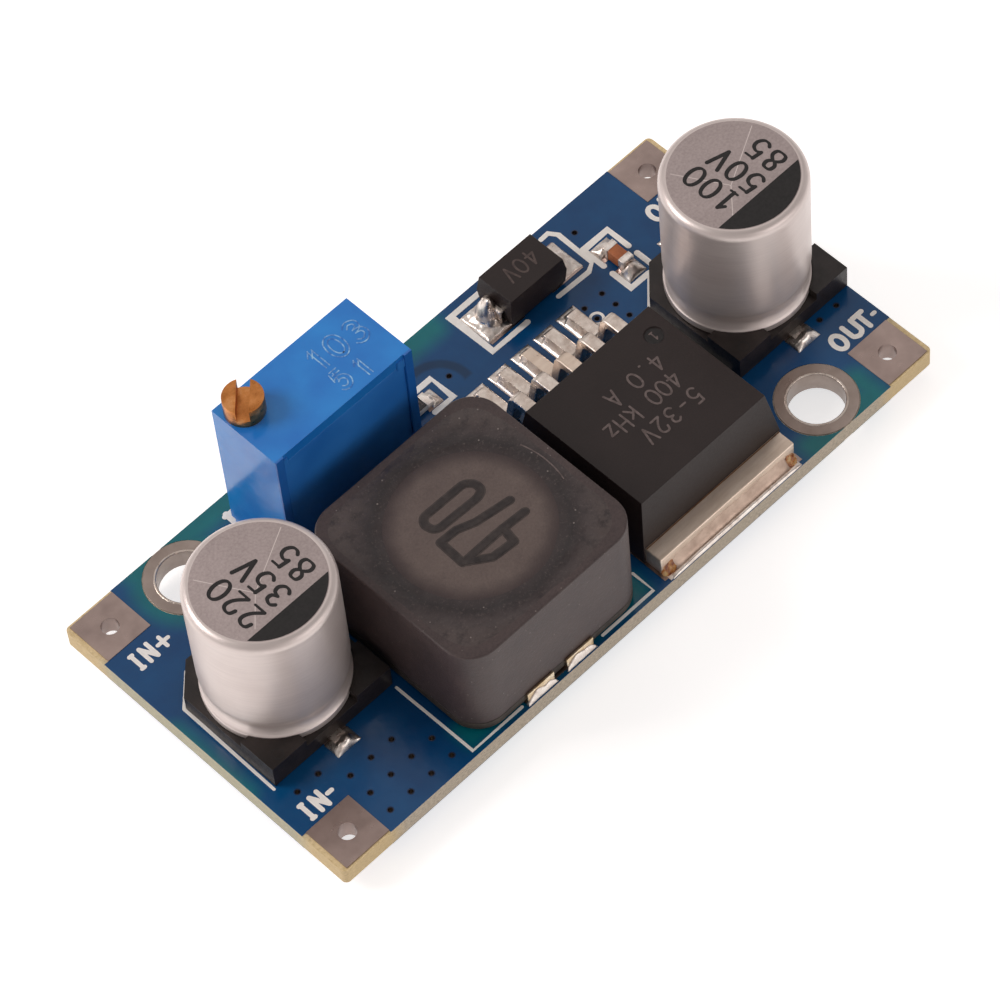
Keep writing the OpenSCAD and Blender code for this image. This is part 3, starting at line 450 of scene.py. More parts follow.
M["black_plastic"] = layered(
    "black_plastic", (30, 26, 26), (0.9, 4), ((0.3, (26, 21, 20)), (0.7, (44, 37, 35))),
    ((5.5, 4, 0.6), 0.28, 0.45), ((5.5, 4, 0.6), 0.01), 0.3, Specular_IOR_Level=0.4)
# painted shade: the trimmer's cover is the housing's blue made darker, for the face turned away from the light
M["trimmer_navy"] = layered(
    "trimmer_navy", (26, 96, 176), (0.4, 4), ((0.3, (34, 108, 190)), (0.7, (48, 124, 206))),
    ((1.6, 4), 0.28, 0.42), ((0.4, 2, 0.4), 0.01), 0.25, IOR=1.5)
# raised lettering of the housing's plastic with painted highlights: it wanders from the housing's blue to a pale blue
M["trimmer_lettering_glint"] = layered(
    "trimmer_lettering_glint", (60, 140, 216), (2.4, 4, 0.6),
    ((0.38, (36, 112, 196)), (0.62, (150, 202, 240))), rough=0.16, IOR=1.5)

# Each CAD node's materials are swapped for the ones made above with the same name; the via barrels take the via
# wall's.
for node in nodes.values():
    for i, old in enumerate(node.data.materials):
        plain = old.name.split(".")[0]
        if plain in M:
            node.data.materials[i] = M[plain]
nodes["via_barrels"].data.materials[0] = M["via"]


# ---- mesh making

def placed(name, data):
    """A new object in the scene."""
    ob = bpy.data.objects.new(name, data)
    scene.collection.objects.link(ob)
    return ob


def piece(name, verts, faces, material, smooth=None):
    """A mesh piece from millimetre points. smooth is the angle in degrees above which an edge stays sharp."""
    me = bpy.data.meshes.new(name)
    me.from_pydata([Vector(v) * MM for v in verts], [], faces)
    me.validate()
    return finished(name, me, material, "module", smooth)


def finished(name, me, material, body, smooth):
    """The mesh as a piece of this body, with its material."""
    bm = bmesh.new()
    bm.from_mesh(me)
    bmesh.ops.recalc_face_normals(bm, faces=bm.faces)
    bm.to_mesh(me)
    bm.free()
    me.update()
    if smooth:
        me.shade_smooth()
        me.set_sharp_from_angle(angle=math.radians(smooth))
    me.materials.clear()
    me.materials.append(material)
    ob = placed(name, me)
    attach(ob, body)
    return ob


def soften(node, width, material, segments=2, angle=35):
    """The CAD node's own shape with its hard edges rounded, shown in the node's place."""
    bm = bmesh.new()
    bm.from_mesh(nodes[node].data)
    bmesh.ops.remove_doubles(bm, verts=bm.verts, dist=1e-7)
    bmesh.ops.dissolve_limit(bm, angle_limit=math.radians(1), verts=bm.verts, edges=bm.edges)
    hard = [e for e in bm.edges if e.is_manifold and e.calc_face_angle(0) > math.radians(angle)]
    bmesh.ops.bevel(bm, geom=hard, offset=width * MM, segments=segments, profile=0.5, affect="EDGES",
                    clamp_overlap=True)
    me = bpy.data.meshes.new(node + "_shown")
    bm.to_mesh(me)
    bm.free()
    old_normals = me.attributes.get("custom_normal")
    if old_normals:
        me.attributes.remove(old_normals)
    me.shade_smooth()
    ob = finished(me.name, me, material, nodes[node]["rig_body"], 50)
    weights = ob.modifiers.new("even_normals", "WEIGHTED_NORMAL")
    weights.keep_sharp = True
    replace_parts(ob, node)


def prism(outline, z0, z1):
    """Points and faces of a flat slab with this outline."""
    n = len(outline)
    verts = [(x, y, z0) for x, y in outline] + [(x, y, z1) for x, y in outline]
    faces = [list(range(n))[::-1], [n + i for i in range(n)]]
    faces += [[i, (i + 1) % n, n + (i + 1) % n, n + i] for i in range(n)]
    return verts, faces


def merge(*parts):
    """Several shapes' points and faces as one."""
    verts, faces = [], []
    for v, f in parts:
        base = len(verts)
        verts += list(v)
        faces += [[base + i for i in face] for face in f]
    return verts, faces


def joined(name, parts, node, material=None):
    """Set solder made of several shapes, shown in a CAD node's place."""
    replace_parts(piece(name, *merge(*parts), material or M["solder"], 60), node)


def rounded(points, radius, steps=4):
    """The closed outline with each corner turned into a small arc."""
    out = []
    n = len(points)
    for i, p in enumerate(points):
        p = Vector(p)
        a, b = Vector(points[i - 1]), Vector(points[(i + 1) % n])
        reach = min(radius, (a - p).length * 0.45, (b - p).length * 0.45)
        s, e = p + (a - p).normalized() * reach, p + (b - p).normalized() * reach
        for k in range(steps + 1):
            t = k / steps
            out.append(s.lerp(p, t).lerp(p.lerp(e, t), t))
    return out


def arc(cx, cy, r, a0, a1, steps):
    """Points on an arc from a0 to a1 degrees."""
    angles = [math.radians(a0 + (a1 - a0) * k / steps) for k in range(steps + 1)]
    return [(cx + r * math.cos(a), cy + r * math.sin(a)) for a in angles]


def hoop(x, y, r, n=20):
    """A circle that ends where it starts."""
    return arc(x, y, r, 0, 360, n)


def lathe(profile, x, y, turns=96):
    """Points and faces of a turned shape: profile is (radius, height) pairs, starting and ending on the axis."""
    verts, faces, rings = [], [], []
    for r, z in profile:
        if r < 1e-6:
            rings.append([len(verts)])
            verts.append((x, y, z))
        else:
            rings.append(list(range(len(verts), len(verts) + turns)))
            verts += [(px, py, z) for px, py in hoop(x, y, r, turns)[:-1]]
    for a, b in zip(rings, rings[1:]):
        for i in range(turns):
            j = (i + 1) % turns
            if len(a) == 1:
                faces.append([a[0], b[i], b[j]])
            elif len(b) == 1:
                faces.append([a[i], b[0], a[j]])
            else:
                faces.append([a[i], b[i], b[j], a[j]])
    return verts, faces


def spline(points, steps=4):
    """A smooth line through the points, closed when it ends where it starts."""
    pts = [Vector(p) for p in points]
    loop = (pts[0] - pts[-1]).length < 1e-9
    n = len(pts) - 1
    out = []
    for i in range(n):
        b, c = pts[i], pts[i + 1]
        a = pts[i - 1] if i else (pts[n - 1] if loop else b)
        d = pts[i + 2] if i + 2 <= n else (pts[1] if loop else c)
        for k in range(steps):
            t = k / steps
            out.append(b + (c - a) * t / 2 + (2 * a - 5 * b + 4 * c - d) * t * t / 2
                       + (3 * b - a - 3 * c + d) * t ** 3 / 2)
    return out + [pts[-1]]


def ribbon(points, half, z0, z1):
    """A drawn line as a thin raised strip with round ends. half gives half the width for a direction."""
    pts = [Vector(p) for p in points]
    loop = (pts[0] - pts[-1]).length < 1e-9
    n = len(pts)
    verts, faces = [], []
    for i, p in enumerate(pts):
        a = pts[i - 1] if i else (pts[n - 2] if loop else p)
        b = pts[i + 1] if i < n - 1 else (pts[1] if loop else p)
        d = (b - a).normalized()
        side = Vector((-d.y, d.x))
        turn = 1.0
        if a != p and b != p:
            turn = max(0.6, abs((p - a).normalized().dot(d)))
        w = half(d) / turn
        l, r = p + side * w, p - side * w
        verts += [(l.x, l.y, z1), (r.x, r.y, z1), (l.x, l.y, z0), (r.x, r.y, z0)]
    for i in range(n - 1):
        k = 4 * i
        faces += [[k, k + 1, k + 5, k + 4], [k, k + 4, k + 6, k + 2], [k + 1, k + 3, k + 7, k + 5]]
    if not loop:
        for p, q, k in ((pts[0], pts[1], 0), (pts[-1], pts[-2], 4 * n - 4)):
            out = (p - q).normalized()
            w = half(out)
            side = Vector((-out.y, out.x))
            base = len(verts)
            for j in range(7):
                a = math.pi * j / 6
                e = p + (side * math.cos(a) + out * math.sin(a)) * w
                verts += [(e.x, e.y, z1), (e.x, e.y, z0)]
            faces.append([base + 2 * j for j in range(7)])
            faces += [[base + 2 * j, base + 2 * j + 1, base + 2 * j + 3, base + 2 * j + 2] for j in range(6)]
    return verts, faces


def lines(name, drawn, material, z, lift=0.014):
    """Printed lines on the face at z: (points, width) pairs."""
    parts = [ribbon(points, lambda d, w=width: w / 2, z - SINK, z + lift + STEP * i)
             for i, (points, width) in enumerate(drawn)]
    piece(name, *merge(*parts), material)


# Characters as pen strokes in a box one wide and one high: smooth strokes first, then straight ones.
OVAL = [(0.5, 0), (0.86, 0.14), (1, 0.5), (0.86, 0.86), (0.5, 1), (0.14, 0.86), (0, 0.5), (0.14, 0.14), (0.5, 0)]
GLYPHS = {
    "0": ([OVAL], []),
    "1": ([], [[(0.22, 0.76), (0.56, 1), (0.56, 0)], [(0.25, 0), (0.87, 0)]]),
    "l": ([], [[(0.25, 0.74), (0.6, 1), (0.6, 0)]]),
    "2": ([[(0.06, 0.74), (0.2, 0.95), (0.52, 1), (0.86, 0.88), (0.88, 0.64), (0.6, 0.34), (0.04, 0.02)]],
          [[(0.04, 0), (0.96, 0)]]),
    "3": ([[(0.08, 0.86), (0.4, 1), (0.82, 0.88), (0.8, 0.64), (0.42, 0.53)],
           [(0.42, 0.53), (0.84, 0.44), (0.92, 0.2), (0.6, 0.01), (0.25, 0.02), (0.04, 0.14)]], []),
    "4": ([], [[(0.7, 0), (0.7, 1), (0.02, 0.3), (0.98, 0.3)]]),
    "5": ([[(0.14, 0.56), (0.48, 0.64), (0.86, 0.52), (0.94, 0.26), (0.66, 0.02), (0.28, 0.0), (0.04, 0.12)]],
          [[(0.9, 1), (0.24, 1), (0.14, 0.56)]]),
    "8": ([[(0.5, 0.53), (0.84, 0.7), (0.78, 0.94), (0.5, 1), (0.22, 0.94), (0.16, 0.7), (0.5, 0.53)],
           [(0.5, 0.53), (0.94, 0.32), (0.88, 0.06), (0.5, 0), (0.12, 0.06), (0.06, 0.32), (0.5, 0.53)]], []),
    "V": ([], [[(0.02, 1), (0.5, 0), (0.98, 1)]]),
    "A": ([], [[(0, 0), (0.5, 1), (1, 0)], [(0.2, 0.36), (0.8, 0.36)]]),
    "k": ([], [[(0.1, 0), (0.1, 1)], [(0.85, 0.68), (0.1, 0.28)], [(0.36, 0.42), (0.9, 0)]]),
    "H": ([], [[(0.05, 0), (0.05, 1)], [(0.95, 0), (0.95, 1)], [(0.05, 0.52), (0.95, 0.52)]]),
    "z": ([], [[(0.12, 0.66), (0.88, 0.66), (0.12, 0), (0.9, 0)]]),
    "-": ([], [[(0.2, 0.42), (0.8, 0.42)]]),
    ".": ([], [[(0.46, 0.02), (0.54, 0.02)]]),
    "I": ([], [[(0.5, 0), (0.5, 1)], [(0.1, 0), (0.9, 0)], [(0.1, 1), (0.9, 1)]]),
    "N": ([], [[(0, 0), (0, 1), (1, 0), (1, 1)]]),
    "U": ([[(0, 0.42), (0.06, 0.14), (0.5, 0), (0.94, 0.14), (1, 0.42)]], [[(0, 1), (0, 0.42)], [(1, 1), (1, 0.42)]]),
    "O": ([OVAL], []),
    "T": ([], [[(0, 1), (1, 1)], [(0.5, 1), (0.5, 0)]]),
    "+": ([], [[(0, 0.5), (1, 0.5)], [(0.5, 0), (0.5, 1)]]),
    " ": ([], []),
}


def marks(name, rows, height, material, z, along=(1, 0), wide=0.6, thick=0.16, thin=None, pitch=1.5, hollow=0.0,
          lift=0.008):
    """Rows of generic characters drawn with a pen: (characters, x, y) gives the middle of each row.

    along is the reading direction and wide a character's width over its height. thick and thin are the pen's widths
    down and across, and hollow, if given, draws only the rim of each stroke with lines of that width."""
    a = Vector(along).normalized()
    up = Vector((-a.y, a.x))
    thin = thin or thick
    parts = []

    def half(d):
        return (thin + (thick - thin) * abs(d.dot(up))) / 2

    for words, x, y in rows:
        for i, one in enumerate(words):
            middle = Vector((x, y)) + a * (i - (len(words) - 1) / 2) * pitch
            width = height * wide * (0.45 if one == "I" else 1.0)

            def place(p):
                return middle + a * (p[0] - 0.5) * width + up * (p[1] - 0.5) * height
            curves, straight = GLYPHS[one]
            strokes = [spline([place(p) for p in c]) for c in curves]
            strokes += [[place(p), place(q)] for l in straight for p, q in zip(l, l[1:])]
            for s in strokes:
                top = z + lift + STEP * (len(parts) % 12)
                if hollow:
                    rims = [[], []]
                    for k, p in enumerate(s):
                        d = (s[min(k + 1, len(s) - 1)] - s[max(k - 1, 0)]).normalized()
                        side = Vector((-d.y, d.x)) * half(d)
                        rims[0].append(p + side)
                        rims[1].append(p - side)
                    for rim in rims:
                        parts.append(ribbon(rim, lambda d: hollow / 2, z - SINK, top))
                else:
                    parts.append(ribbon(s, half, z - SINK, top))
    piece(name, *merge(*parts), material)


def pool(x0, x1, y0, y1, height, seed, lumps=(), n=18, rough=0.05, square=3.0, domes=()):
    """A set puddle of solder on a land, n cells long.

    It has lumps and rounder domes, each (x, y, radius, height), where it climbed a part."""
    m = min(40, max(8, int(n * (y1 - y0) / (x1 - x0))))
    verts, faces = [], []
    for j in range(m + 1):
        for i in range(n + 1):
            u, v = 2 * i / n - 1, 2 * j / m - 1
            edge = max(0.0, (1 - abs(u) ** square) * (1 - abs(v) ** square))
            x, y = (x0 + x1) / 2 + u * (x1 - x0) / 2, (y0 + y1) / 2 + v * (y1 - y0) / 2
            h = height * edge ** 0.5
            for lx, ly, lr, lh in lumps:
                h += lh * math.exp(-((x - lx) ** 2 + (y - ly) ** 2) / lr ** 2) * edge ** 0.35
            for lx, ly, lr, lh in domes:
                h += lh * max(0.0, 1 - ((x - lx) ** 2 + (y - ly) ** 2) / lr ** 2) ** 0.8
            wander = noise.noise(Vector((x * 1.7, y * 1.7, seed)))
            wander += 0.5 * noise.noise(Vector((x * 4.1, y * 4.1, seed)))
            h += rough * wander * edge ** 0.5
            verts.append((x, y, DECK + max(0.0, h)))

    def top(i, j):
        return j * (n + 1) + i

    faces = [[top(i, j), top(i + 1, j), top(i + 1, j + 1), top(i, j + 1)] for j in range(m) for i in range(n)]
    rim = [top(i, 0) for i in range(n)] + [top(n, j) for j in range(m)] \
        + [top(i, m) for i in range(n, 0, -1)] + [top(0, j) for j in range(m, 0, -1)]
    base = len(verts)
    verts += [(verts[i][0], verts[i][1], DECK - FOOT) for i in rim]
    k = len(rim)
    faces += [[rim[i], base + i, base + (i + 1) % k, rim[(i + 1) % k]] for i in range(k)]
    faces.append([base + i for i in range(k)][::-1])
    return verts, faces


def fillet(a, b, out, height, seed, n=40, m=7, rough=0.02, ends=0.12):
    """A hollow run of solder on a land from a to b, climbing a part's side.

    out points from the part to the run's foot, and ends is the share of the length over which each end fades."""
    a, b, out = Vector(a), Vector(b), Vector(out)
    verts, faces = [], []
    for i in range(n + 1):
        t = i / n
        fade = math.sin(min(1.0, t / ends, (1 - t) / ends) * math.pi / 2)
        for j in range(m + 1):
            u = j / m
            spot = a.lerp(b, t) + out * u * (0.45 + 0.55 * fade)
            wander = noise.noise(Vector((spot.x * 1.3, spot.y * 1.3, seed)))
            h = height * (0.13 + 0.87 * (1 - u) ** 2.2) * (0.3 + 0.7 * fade) + rough * wander
            h *= min(1.0, (1 - u) * m)
            verts.append((spot.x, spot.y, DECK + max(0.0, h)))
    faces = [[i * (m + 1) + j, i * (m + 1) + j + 1, (i + 1) * (m + 1) + j + 1, (i + 1) * (m + 1) + j]
             for i in range(n) for j in range(m)]
    base = len(verts)
    verts += [(verts[i * (m + 1)][0], verts[i * (m + 1)][1], DECK - FOOT) for i in range(n + 1)]
    faces += [[i * (m + 1), (i + 1) * (m + 1), base + i + 1, base + i] for i in range(n)]
    return verts, faces


# ---- board

# Printed lines on the board, each with its width.
BOLD, FINE = 0.35, 0.17
LINES = [
    # chip capacitor's brackets and the ring round a test via
    ([(13.65, 6.1), (13.65, 7.64), (15.5, 7.64), (15.5, 6.07)], BOLD),
    ([(13.62, 5.41), (13.62, 4.02), (14.92, 4.02)], BOLD),
    ([(15.48, 5.4), (15.48, 4.02), (14.92, 4.02)], BOLD),
    (hoop(10.96, 3.97, 0.36), 0.16),
    # output and input capacitors' outlines
    ([(15.3, 4.2), (13.13, 2.22), (13.13, -3.4)], FINE),
    ([(-18.91, 3.96), (-20.5, 2.4), (-20.6, -4.36)], FINE),
    # inductor's outline
    ([(-12.25, -4.6), (-12.2, -10.07), (-8.7, -10.07)], FINE),
    ([(-2.9, -10.07), (0.8, -10.07), (0.8, -8.6)], FINE),
    # diode's brackets
    ([(8.0, 9.75), (5.73, 9.75), (5.73, 6.52), (8.3, 6.52)], BOLD),
    ([(12.6, 9.8), (13.15, 9.82), (13.47, 9.35), (13.4, 6.75), (12.85, 6.42), (10.6, 6.48)], BOLD * 0.8),
    # resistor's brackets
    ([(-1.1, 7.7), (2.25, 7.7), (2.25, 6.0), (0.92, 6.0)], BOLD),
    # trimmer's outline
    ([(-10.98, 9.42), (-10.98, 4.1)], 0.36),
    ([(-11.14, 9.34), (-10.4, 9.34)], 0.3),
    # output capacitor's inner corner
    ([(15.01, 4.11), (13.19, 2.34)], 0.1),
]
# What each corner pad is: characters with their middles, then height, width over height and pen.
LABELS = {
    "in_plus": ([("I", -20.25, 6.2), ("N", -19.45, 6.2)], 0.98, 0.5, 0.24),
    "in_plus_sign": ([("+", -18.5, 6.15)], 0.7, 1.0, 0.23),
    "in_minus": ([("I", -20.35, -6.5), ("N", -19.5, -6.5)], 1.0, 0.5, 0.26),
    "in_minus_sign": ([("-", -18.78, -6.45)], 0.5, 1.0, 0.25),
    "out_minus": ([("O", 18.5, -6.5), ("U", 19.6, -6.48), ("T", 20.42, -6.48)], 1.0, 0.66, 0.29),
    "out_minus_sign": ([("-", 21.1, -6.52)], 0.3, 1.0, 0.24),
    "out_plus": ([("O", 18.05, 6.5), ("U", 19.15, 6.5), ("T", 20.0, 6.5)], 1.0, 0.66, 0.29),
    "out_plus_sign": ([("+", 20.85, 6.5)], 0.5, 1.0, 0.28),
}


def board():
    soften("mounting_rings", 0.06, M["ring"], segments=3)
    lip = [(1.56, DECK - 0.06), (1.565, DECK), (1.6, DECK + 0.022), (1.66, DECK + 0.022), (1.71, DECK - 0.01)]
    piece("ring_rims", *merge(*[lathe(lip, x, y) for x, y in (MOUNT_IN, MOUNT_OUT)]), M["leadframe"], 60)
    lines("silk_lines", LINES, M["silk"], MASK_TOP)
    for name, (letters, height, wide, thick) in LABELS.items():
        marks("silk_" + name, letters, height, M["silk"], MASK_TOP, wide=wide, thick=thick, lift=0.014)


# ---- capacitors

# The neck rolled in round the bung: how far it lies inside the wall, at which height.
NECK = [(0.13, 0.66), (0.2, 0.84), (0.235, 1.0), (0.24, 1.1), (0.225, 1.25), (0.16, 1.45), (0.08, 1.62), (0.03, 1.8),
        (0, 2.1)]


def can_profile(r, z0, z1):
    """The can from its rolled foot, over the neck round the bung, to the rounded shoulder."""
    wall = [(0, z0 + 0.3), (r - 0.5, z0 + 0.3), (r - 0.42, z0 + 0.06)]
    wall += arc(r - 0.12, z0 + 0.12, 0.12, 250, 360, 5)
    wall += [(r, z0 + 0.4)] + arc(r - 0.1, z0 + 0.43, 0.1, 0, 65, 4)
    wall += [(r - inset, z0 + rise) for inset, rise in NECK]
    wall += [(r, z0 + 4), (r, z1 - 0.55)] + arc(r - 0.5, z1 - 0.5, 0.5, 0, 78, 7)
    return wall + [(r - 0.52, z1 - 0.012), (0, z1 - 0.012)]


def capacitor(side, rows, chord):
    """rows are the printed figures, and chord is the Y at which the black band begins."""
    node = f"cap_{side}_"
    lo, hi = box(node + "can")
    cx, cy = middle(node + "can")
    r, z1 = (hi.x - lo.x) / 2, hi.z
    can = piece("can_" + side, *lathe(can_profile(r, lo.z, z1), cx, cy, 120), M["can"], 40)
    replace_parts(can, node + "can")
    # the end face is its own thin disc, duller than the wall, with the three scored lines of the vent
    face_r, face_z = r - 0.47, z1 - 0.005
    disc = [(0, z1 - 0.03), (face_r, z1 - 0.03), (face_r + 0.02, z1 - 0.012), (face_r - 0.05, z1 - 0.004),
            (0, z1 - 0.004)]
    piece(f"can_{side}_face", *lathe(disc, cx, cy, 120), M["can_top"], 40)
    start = math.degrees(math.asin((chord - cy) / face_r))
    band = arc(cx, cy, face_r - 0.03, 180 - start, 360 + start, 40)
    piece(f"can_{side}_band", *prism(band, face_z, z1), M["print_black"])
    hub = (cx - 0.57, cy - 0.36)
    score = [([hub, (cx + dx, cy + dy)], 0.045) for dx, dy in ((2.94, 1.5), (-2.15, 2.43), (-2.01, -1.87))]
    lines(f"can_{side}_vent", score, M["can"], face_z, lift=0.002)
    marks(f"can_{side}_marks", rows, 1.26, M["print_black"], face_z, along=(0, 1), thick=0.23, thin=0.14,
          pitch=1.13, lift=0.004)
    soften(node + "base", 0.1, M["black_plastic"])
    soften(node + "terminals", 0.04, M["leadframe"])
    # ejector-pin witness on the post at the front corner
    lo, hi = box(node + "base")
    lines(f"cap_{side}_witness", [(hoop(lo.x + 0.82, lo.y + 0.5, 0.3), 0.05)], M["rubber"], hi.z, lift=0.004)


def capacitor_feet():
    feet = []
    for side in ("in", "out"):
        lo, hi = box(f"cap_{side}_terminals")
        cx = middle(f"cap_{side}_terminals")[0]
        for edge, s in ((lo.y, -1), (hi.y, 1)):
            y0, y1 = sorted((edge - s * 0.75, edge + s * 0.28))
            lumps = [(cx - 0.3, edge, 0.26, 0.3), (cx + 0.25, edge - s * 0.1, 0.28, 0.34),
                     (cx + 0.05, edge + s * 0.1, 0.2, 0.2)]
            feet.append(pool(cx - 0.8, cx + 0.8, y0, y1, 0.16, 3.1 + s, lumps, rough=0.12))
    joined("solder_capacitor_feet", feet, "solder_capacitors")


# ---- inductor

# The drum's digits as strokes from its middle: a closed loop, then straight ones.
DIGIT_LOOP = [(-1.3, 2.06), (-1.6, 1.72), (-1.5, 1.2), (-1.2, 1.0), (1.4, 0.9), (1.86, 1.08), (1.9, 1.62),
              (1.5, 2.02)]
DIGIT_STROKES = [
    [(-1.85, -1.31), (-1.78, 0.36), (-0.72, 0.32), (0.26, -0.06), (2.39, -0.39)],
    [(-1.77, -1.33), (0.46, -1.31), (2.42, -1.42)],
    [(-1.77, -1.33), (-0.59, -2.17), (0.79, -2.29), (0.96, -1.32)],
]


def potting(cx, cy, z, turns=150, rings=22):
    """Resin that ran over the shield's top: a wavy film that thins out short of the edges."""
    verts, faces = [], []
    for j in range(turns):
        a = 2 * math.pi * j / turns
        c, s = math.cos(a), math.sin(a)
        wander = noise.noise(Vector((2.2 * c, 2.2 * s, 7))) + 0.5 * noise.noise(Vector((5 * c, 5 * s, 3)))
        inner = 4.43 + 0.03 * wander
        outer = 5.62 / (abs(c) ** 6 + abs(s) ** 6) ** (1 / 6) + 0.16 * wander
        for i in range(rings + 1):
            t = i / rings
            r = inner + (outer - inner) * t
            x, y = cx + r * c, cy + r * s
            swell = math.sin(r * 5.2 + 1.6 * wander + 0.8 * noise.noise(Vector((x * 0.5, y * 0.5, 2))))
            rough = noise.noise(Vector((x * 0.9, y * 0.9, 11)))
            h = 0.05 + 0.022 * swell + 0.03 * rough
            h *= min(1.0, 6 * t * (1 - t) + 0.02) * (1 - 0.55 * t)
            verts.append((x, y, z + max(-0.004, h)))
    n = rings + 1
    for j in range(turns):
        k = (j + 1) % turns
        faces += [[j * n + i, j * n + i + 1, k * n + i + 1, k * n + i] for i in range(rings)]
    return verts, faces


def drum_digits(cx, cy, z):
    def shifted(points):
        return [(cx + x, cy + y) for x, y in points]

    loop = rounded(shifted(DIGIT_LOOP), 0.25)
    strokes = [loop + loop[:1]]
    strokes += [[p, q] for one in map(shifted, DIGIT_STROKES) for p, q in zip(one, one[1:])]
    lines("choke_marks_edge", [(s, 0.52) for s in strokes], M["disc_shade"], z, lift=0.004)
    lines("choke_marks", [(s, 0.34) for s in strokes], M["disc_print"], z + 0.014, lift=0.008)


def clip_toes():
    lo, hi = box("choke_clips")
    toe_w = 1.9
    toes = []
    for x0, seed in ((lo.x, 1), (hi.x - toe_w, 2)):
        x1, mid = x0 + toe_w, x0 + toe_w / 2
        climb = [(mid - 0.3, lo.y + 0.05, 0.5, 0.4), (mid + 0.6, lo.y + 0.05, 0.3, 0.2)]
        toes.append(pool(x0 - 0.1, x1 + 0.1, lo.y - 0.14, lo.y + 0.12, 0.3, seed, climb, rough=0.08))
        climb = [(mid, hi.y, 0.6, 0.3)]
        toes.append(pool(x0 - 0.1, x1 + 0.1, hi.y - 0.12, hi.y + 0.13, 0.26, seed + 5, climb, rough=0.08))
    joined("solder_choke_toes", toes, "solder_choke")


def inductor():
    soften("choke_shield", 0.16, M["ferrite"], segments=3)
    soften("choke_drum", 0.06, M["disc"])
    soften("choke_base", 0.05, M["base_board"])
    soften("choke_clips", 0.05, M["clip"])
    cx, cy = middle("choke_drum")
    drum_z, z = box("choke_drum")[1].z, box("choke_resin")[1].z
    ring = [(4.44, z - 0.5), (4.44, z + 0.11), (4.56, z + 0.07), (4.8, z - 0.03), (5.05, z - 0.04), (5.25, z + 0.04),
            (5.44, z + 0.11), (5.44, z - 0.5)]
    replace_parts(piece("choke_resin_ring", *lathe(ring + ring[:1], cx, cy, 120), M["resin"], 60), "choke_resin")
    piece("choke_potting", *potting(cx, cy, drum_z), M["resin"], 80)
    # painted highlight: a pale line where the shield's bore catches the light along a short stretch of its edge
    lines("choke_bore_glint", [(arc(cx, cy, 5.33, -16, 17, 11), 0.07)], M["laser_mark"], drum_z + 0.04, lift=0.012)
    drum_digits(cx, cy, drum_z)
    clip_toes()


# ---- converter chip

def chip_marks():
    z = box("ic_body")[1].z
    pen = dict(material=M["laser_mark"], along=(-1, 0), thick=0.12, wide=0.56, lift=0.005)
    for name, words, x, y, pitch in (("", "5-32V", 7.13, -5.5, 0.84), ("_rate", "400 kHz", 6.55, -4.0, 0.74),
                                     ("_amps", "4.0 A", 7.38, -2.6, 0.78)):
        marks("ic_marks" + name, [(words, x, y)], 1.0, z=z, pitch=pitch, **pen)
    pin_x, pin_y, pin_z = 10.1, -1.31, z - 0.09
    floor_disc = [(0, pin_z - 0.009), (0.5, pin_z - 0.009), (0.5, pin_z), (0, pin_z)]
    piece("ic_dimple", *lathe(floor_disc, pin_x, pin_y, 40), M["print_black"])
    marks("ic_pin_mark", [("1", pin_x, pin_y)], 0.52, z=pin_z + 0.002, **dict(pen, thick=0.08))


def lead_feet():
    """Round each lead's foot: a thin pool over its land, a run along each side and one across the toe."""
    feet = []
    for i in range(5):
        x = middle("ic_leads")[0] + LEAD_PITCH * (i - 2)
        feet.append(pool(x - 0.74, x + 0.6, 3.0, 5.5, 0.09, 11 + i, n=22, rough=0.03, square=8))
        feet.append(fillet((x - 0.38, 3.3), (x - 0.38, 5.05), (-0.36, 0), 0.56, 31 + i))
        feet.append(fillet((x + 0.38, 5.05), (x + 0.38, 3.3), (0.2, 0), 0.34, 41 + i))
        feet.append(fillet((x - 0.4, 5.03), (x + 0.4, 5.03), (0, 0.36), 0.4, 51 + i))
    joined("solder_lead_feet", feet, "solder_ic_leads")


def tab_solder_run():
    """The bead along the tab's edge, the thin skirt and brim before it, and what the flux left at both ends."""
    lo, hi = box("ic_tab")
    edge = lo.y + 0.02
    bead = fillet((lo.x + 0.62, edge), (hi.x - 0.5, edge), (0, -0.55), 0.78, 21, n=80, m=12, ends=0.05)
    joined("solder_tab_bead", [bead], "solder_ic_tab", M["tab_solder"])
    skirt = pool(lo.x + 0.1, hi.x - 0.1, lo.y - 0.6, lo.y + 0.1, 0.05, 22, n=60, rough=0.02, square=8)
    brim = pool(lo.x + 0.25, hi.x - 0.1, lo.y - 0.64, lo.y - 0.34, 0.2, 23, n=60, rough=0.02)
    piece("solder_tab_brim", *merge(skirt, brim), M["solder"], 60)
    seam = [(lo.x + 0.06, -8.7), (lo.x + 4, -8.68), (hi.x - 0.06, -8.7)]
    lines("tab_joint", [(seam, 0.07)], M["joint"], DECK + TAB_T, lift=0.008)
    blobs = [fillet((x0, edge), (x1, edge), (0, -0.4), 0.72, seed, n=30, m=12, rough=0.22, ends=0.3)
             for x0, x1, seed in ((lo.x, lo.x + 0.95, 31), (hi.x - 0.85, hi.x, 32))]
    piece("flux_residue", *merge(*blobs), M["flux"], 60)


def converter_chip():
    soften("ic_body", 0.1, M["mould"], segments=3, angle=25)
    soften("ic_tab", 0.08, M["tab"])
    soften("ic_leads", 0.1, M["leadframe"], segments=3)
    chip_marks()
    lead_feet()
    tab_solder_run()


# ---- diode and chip parts

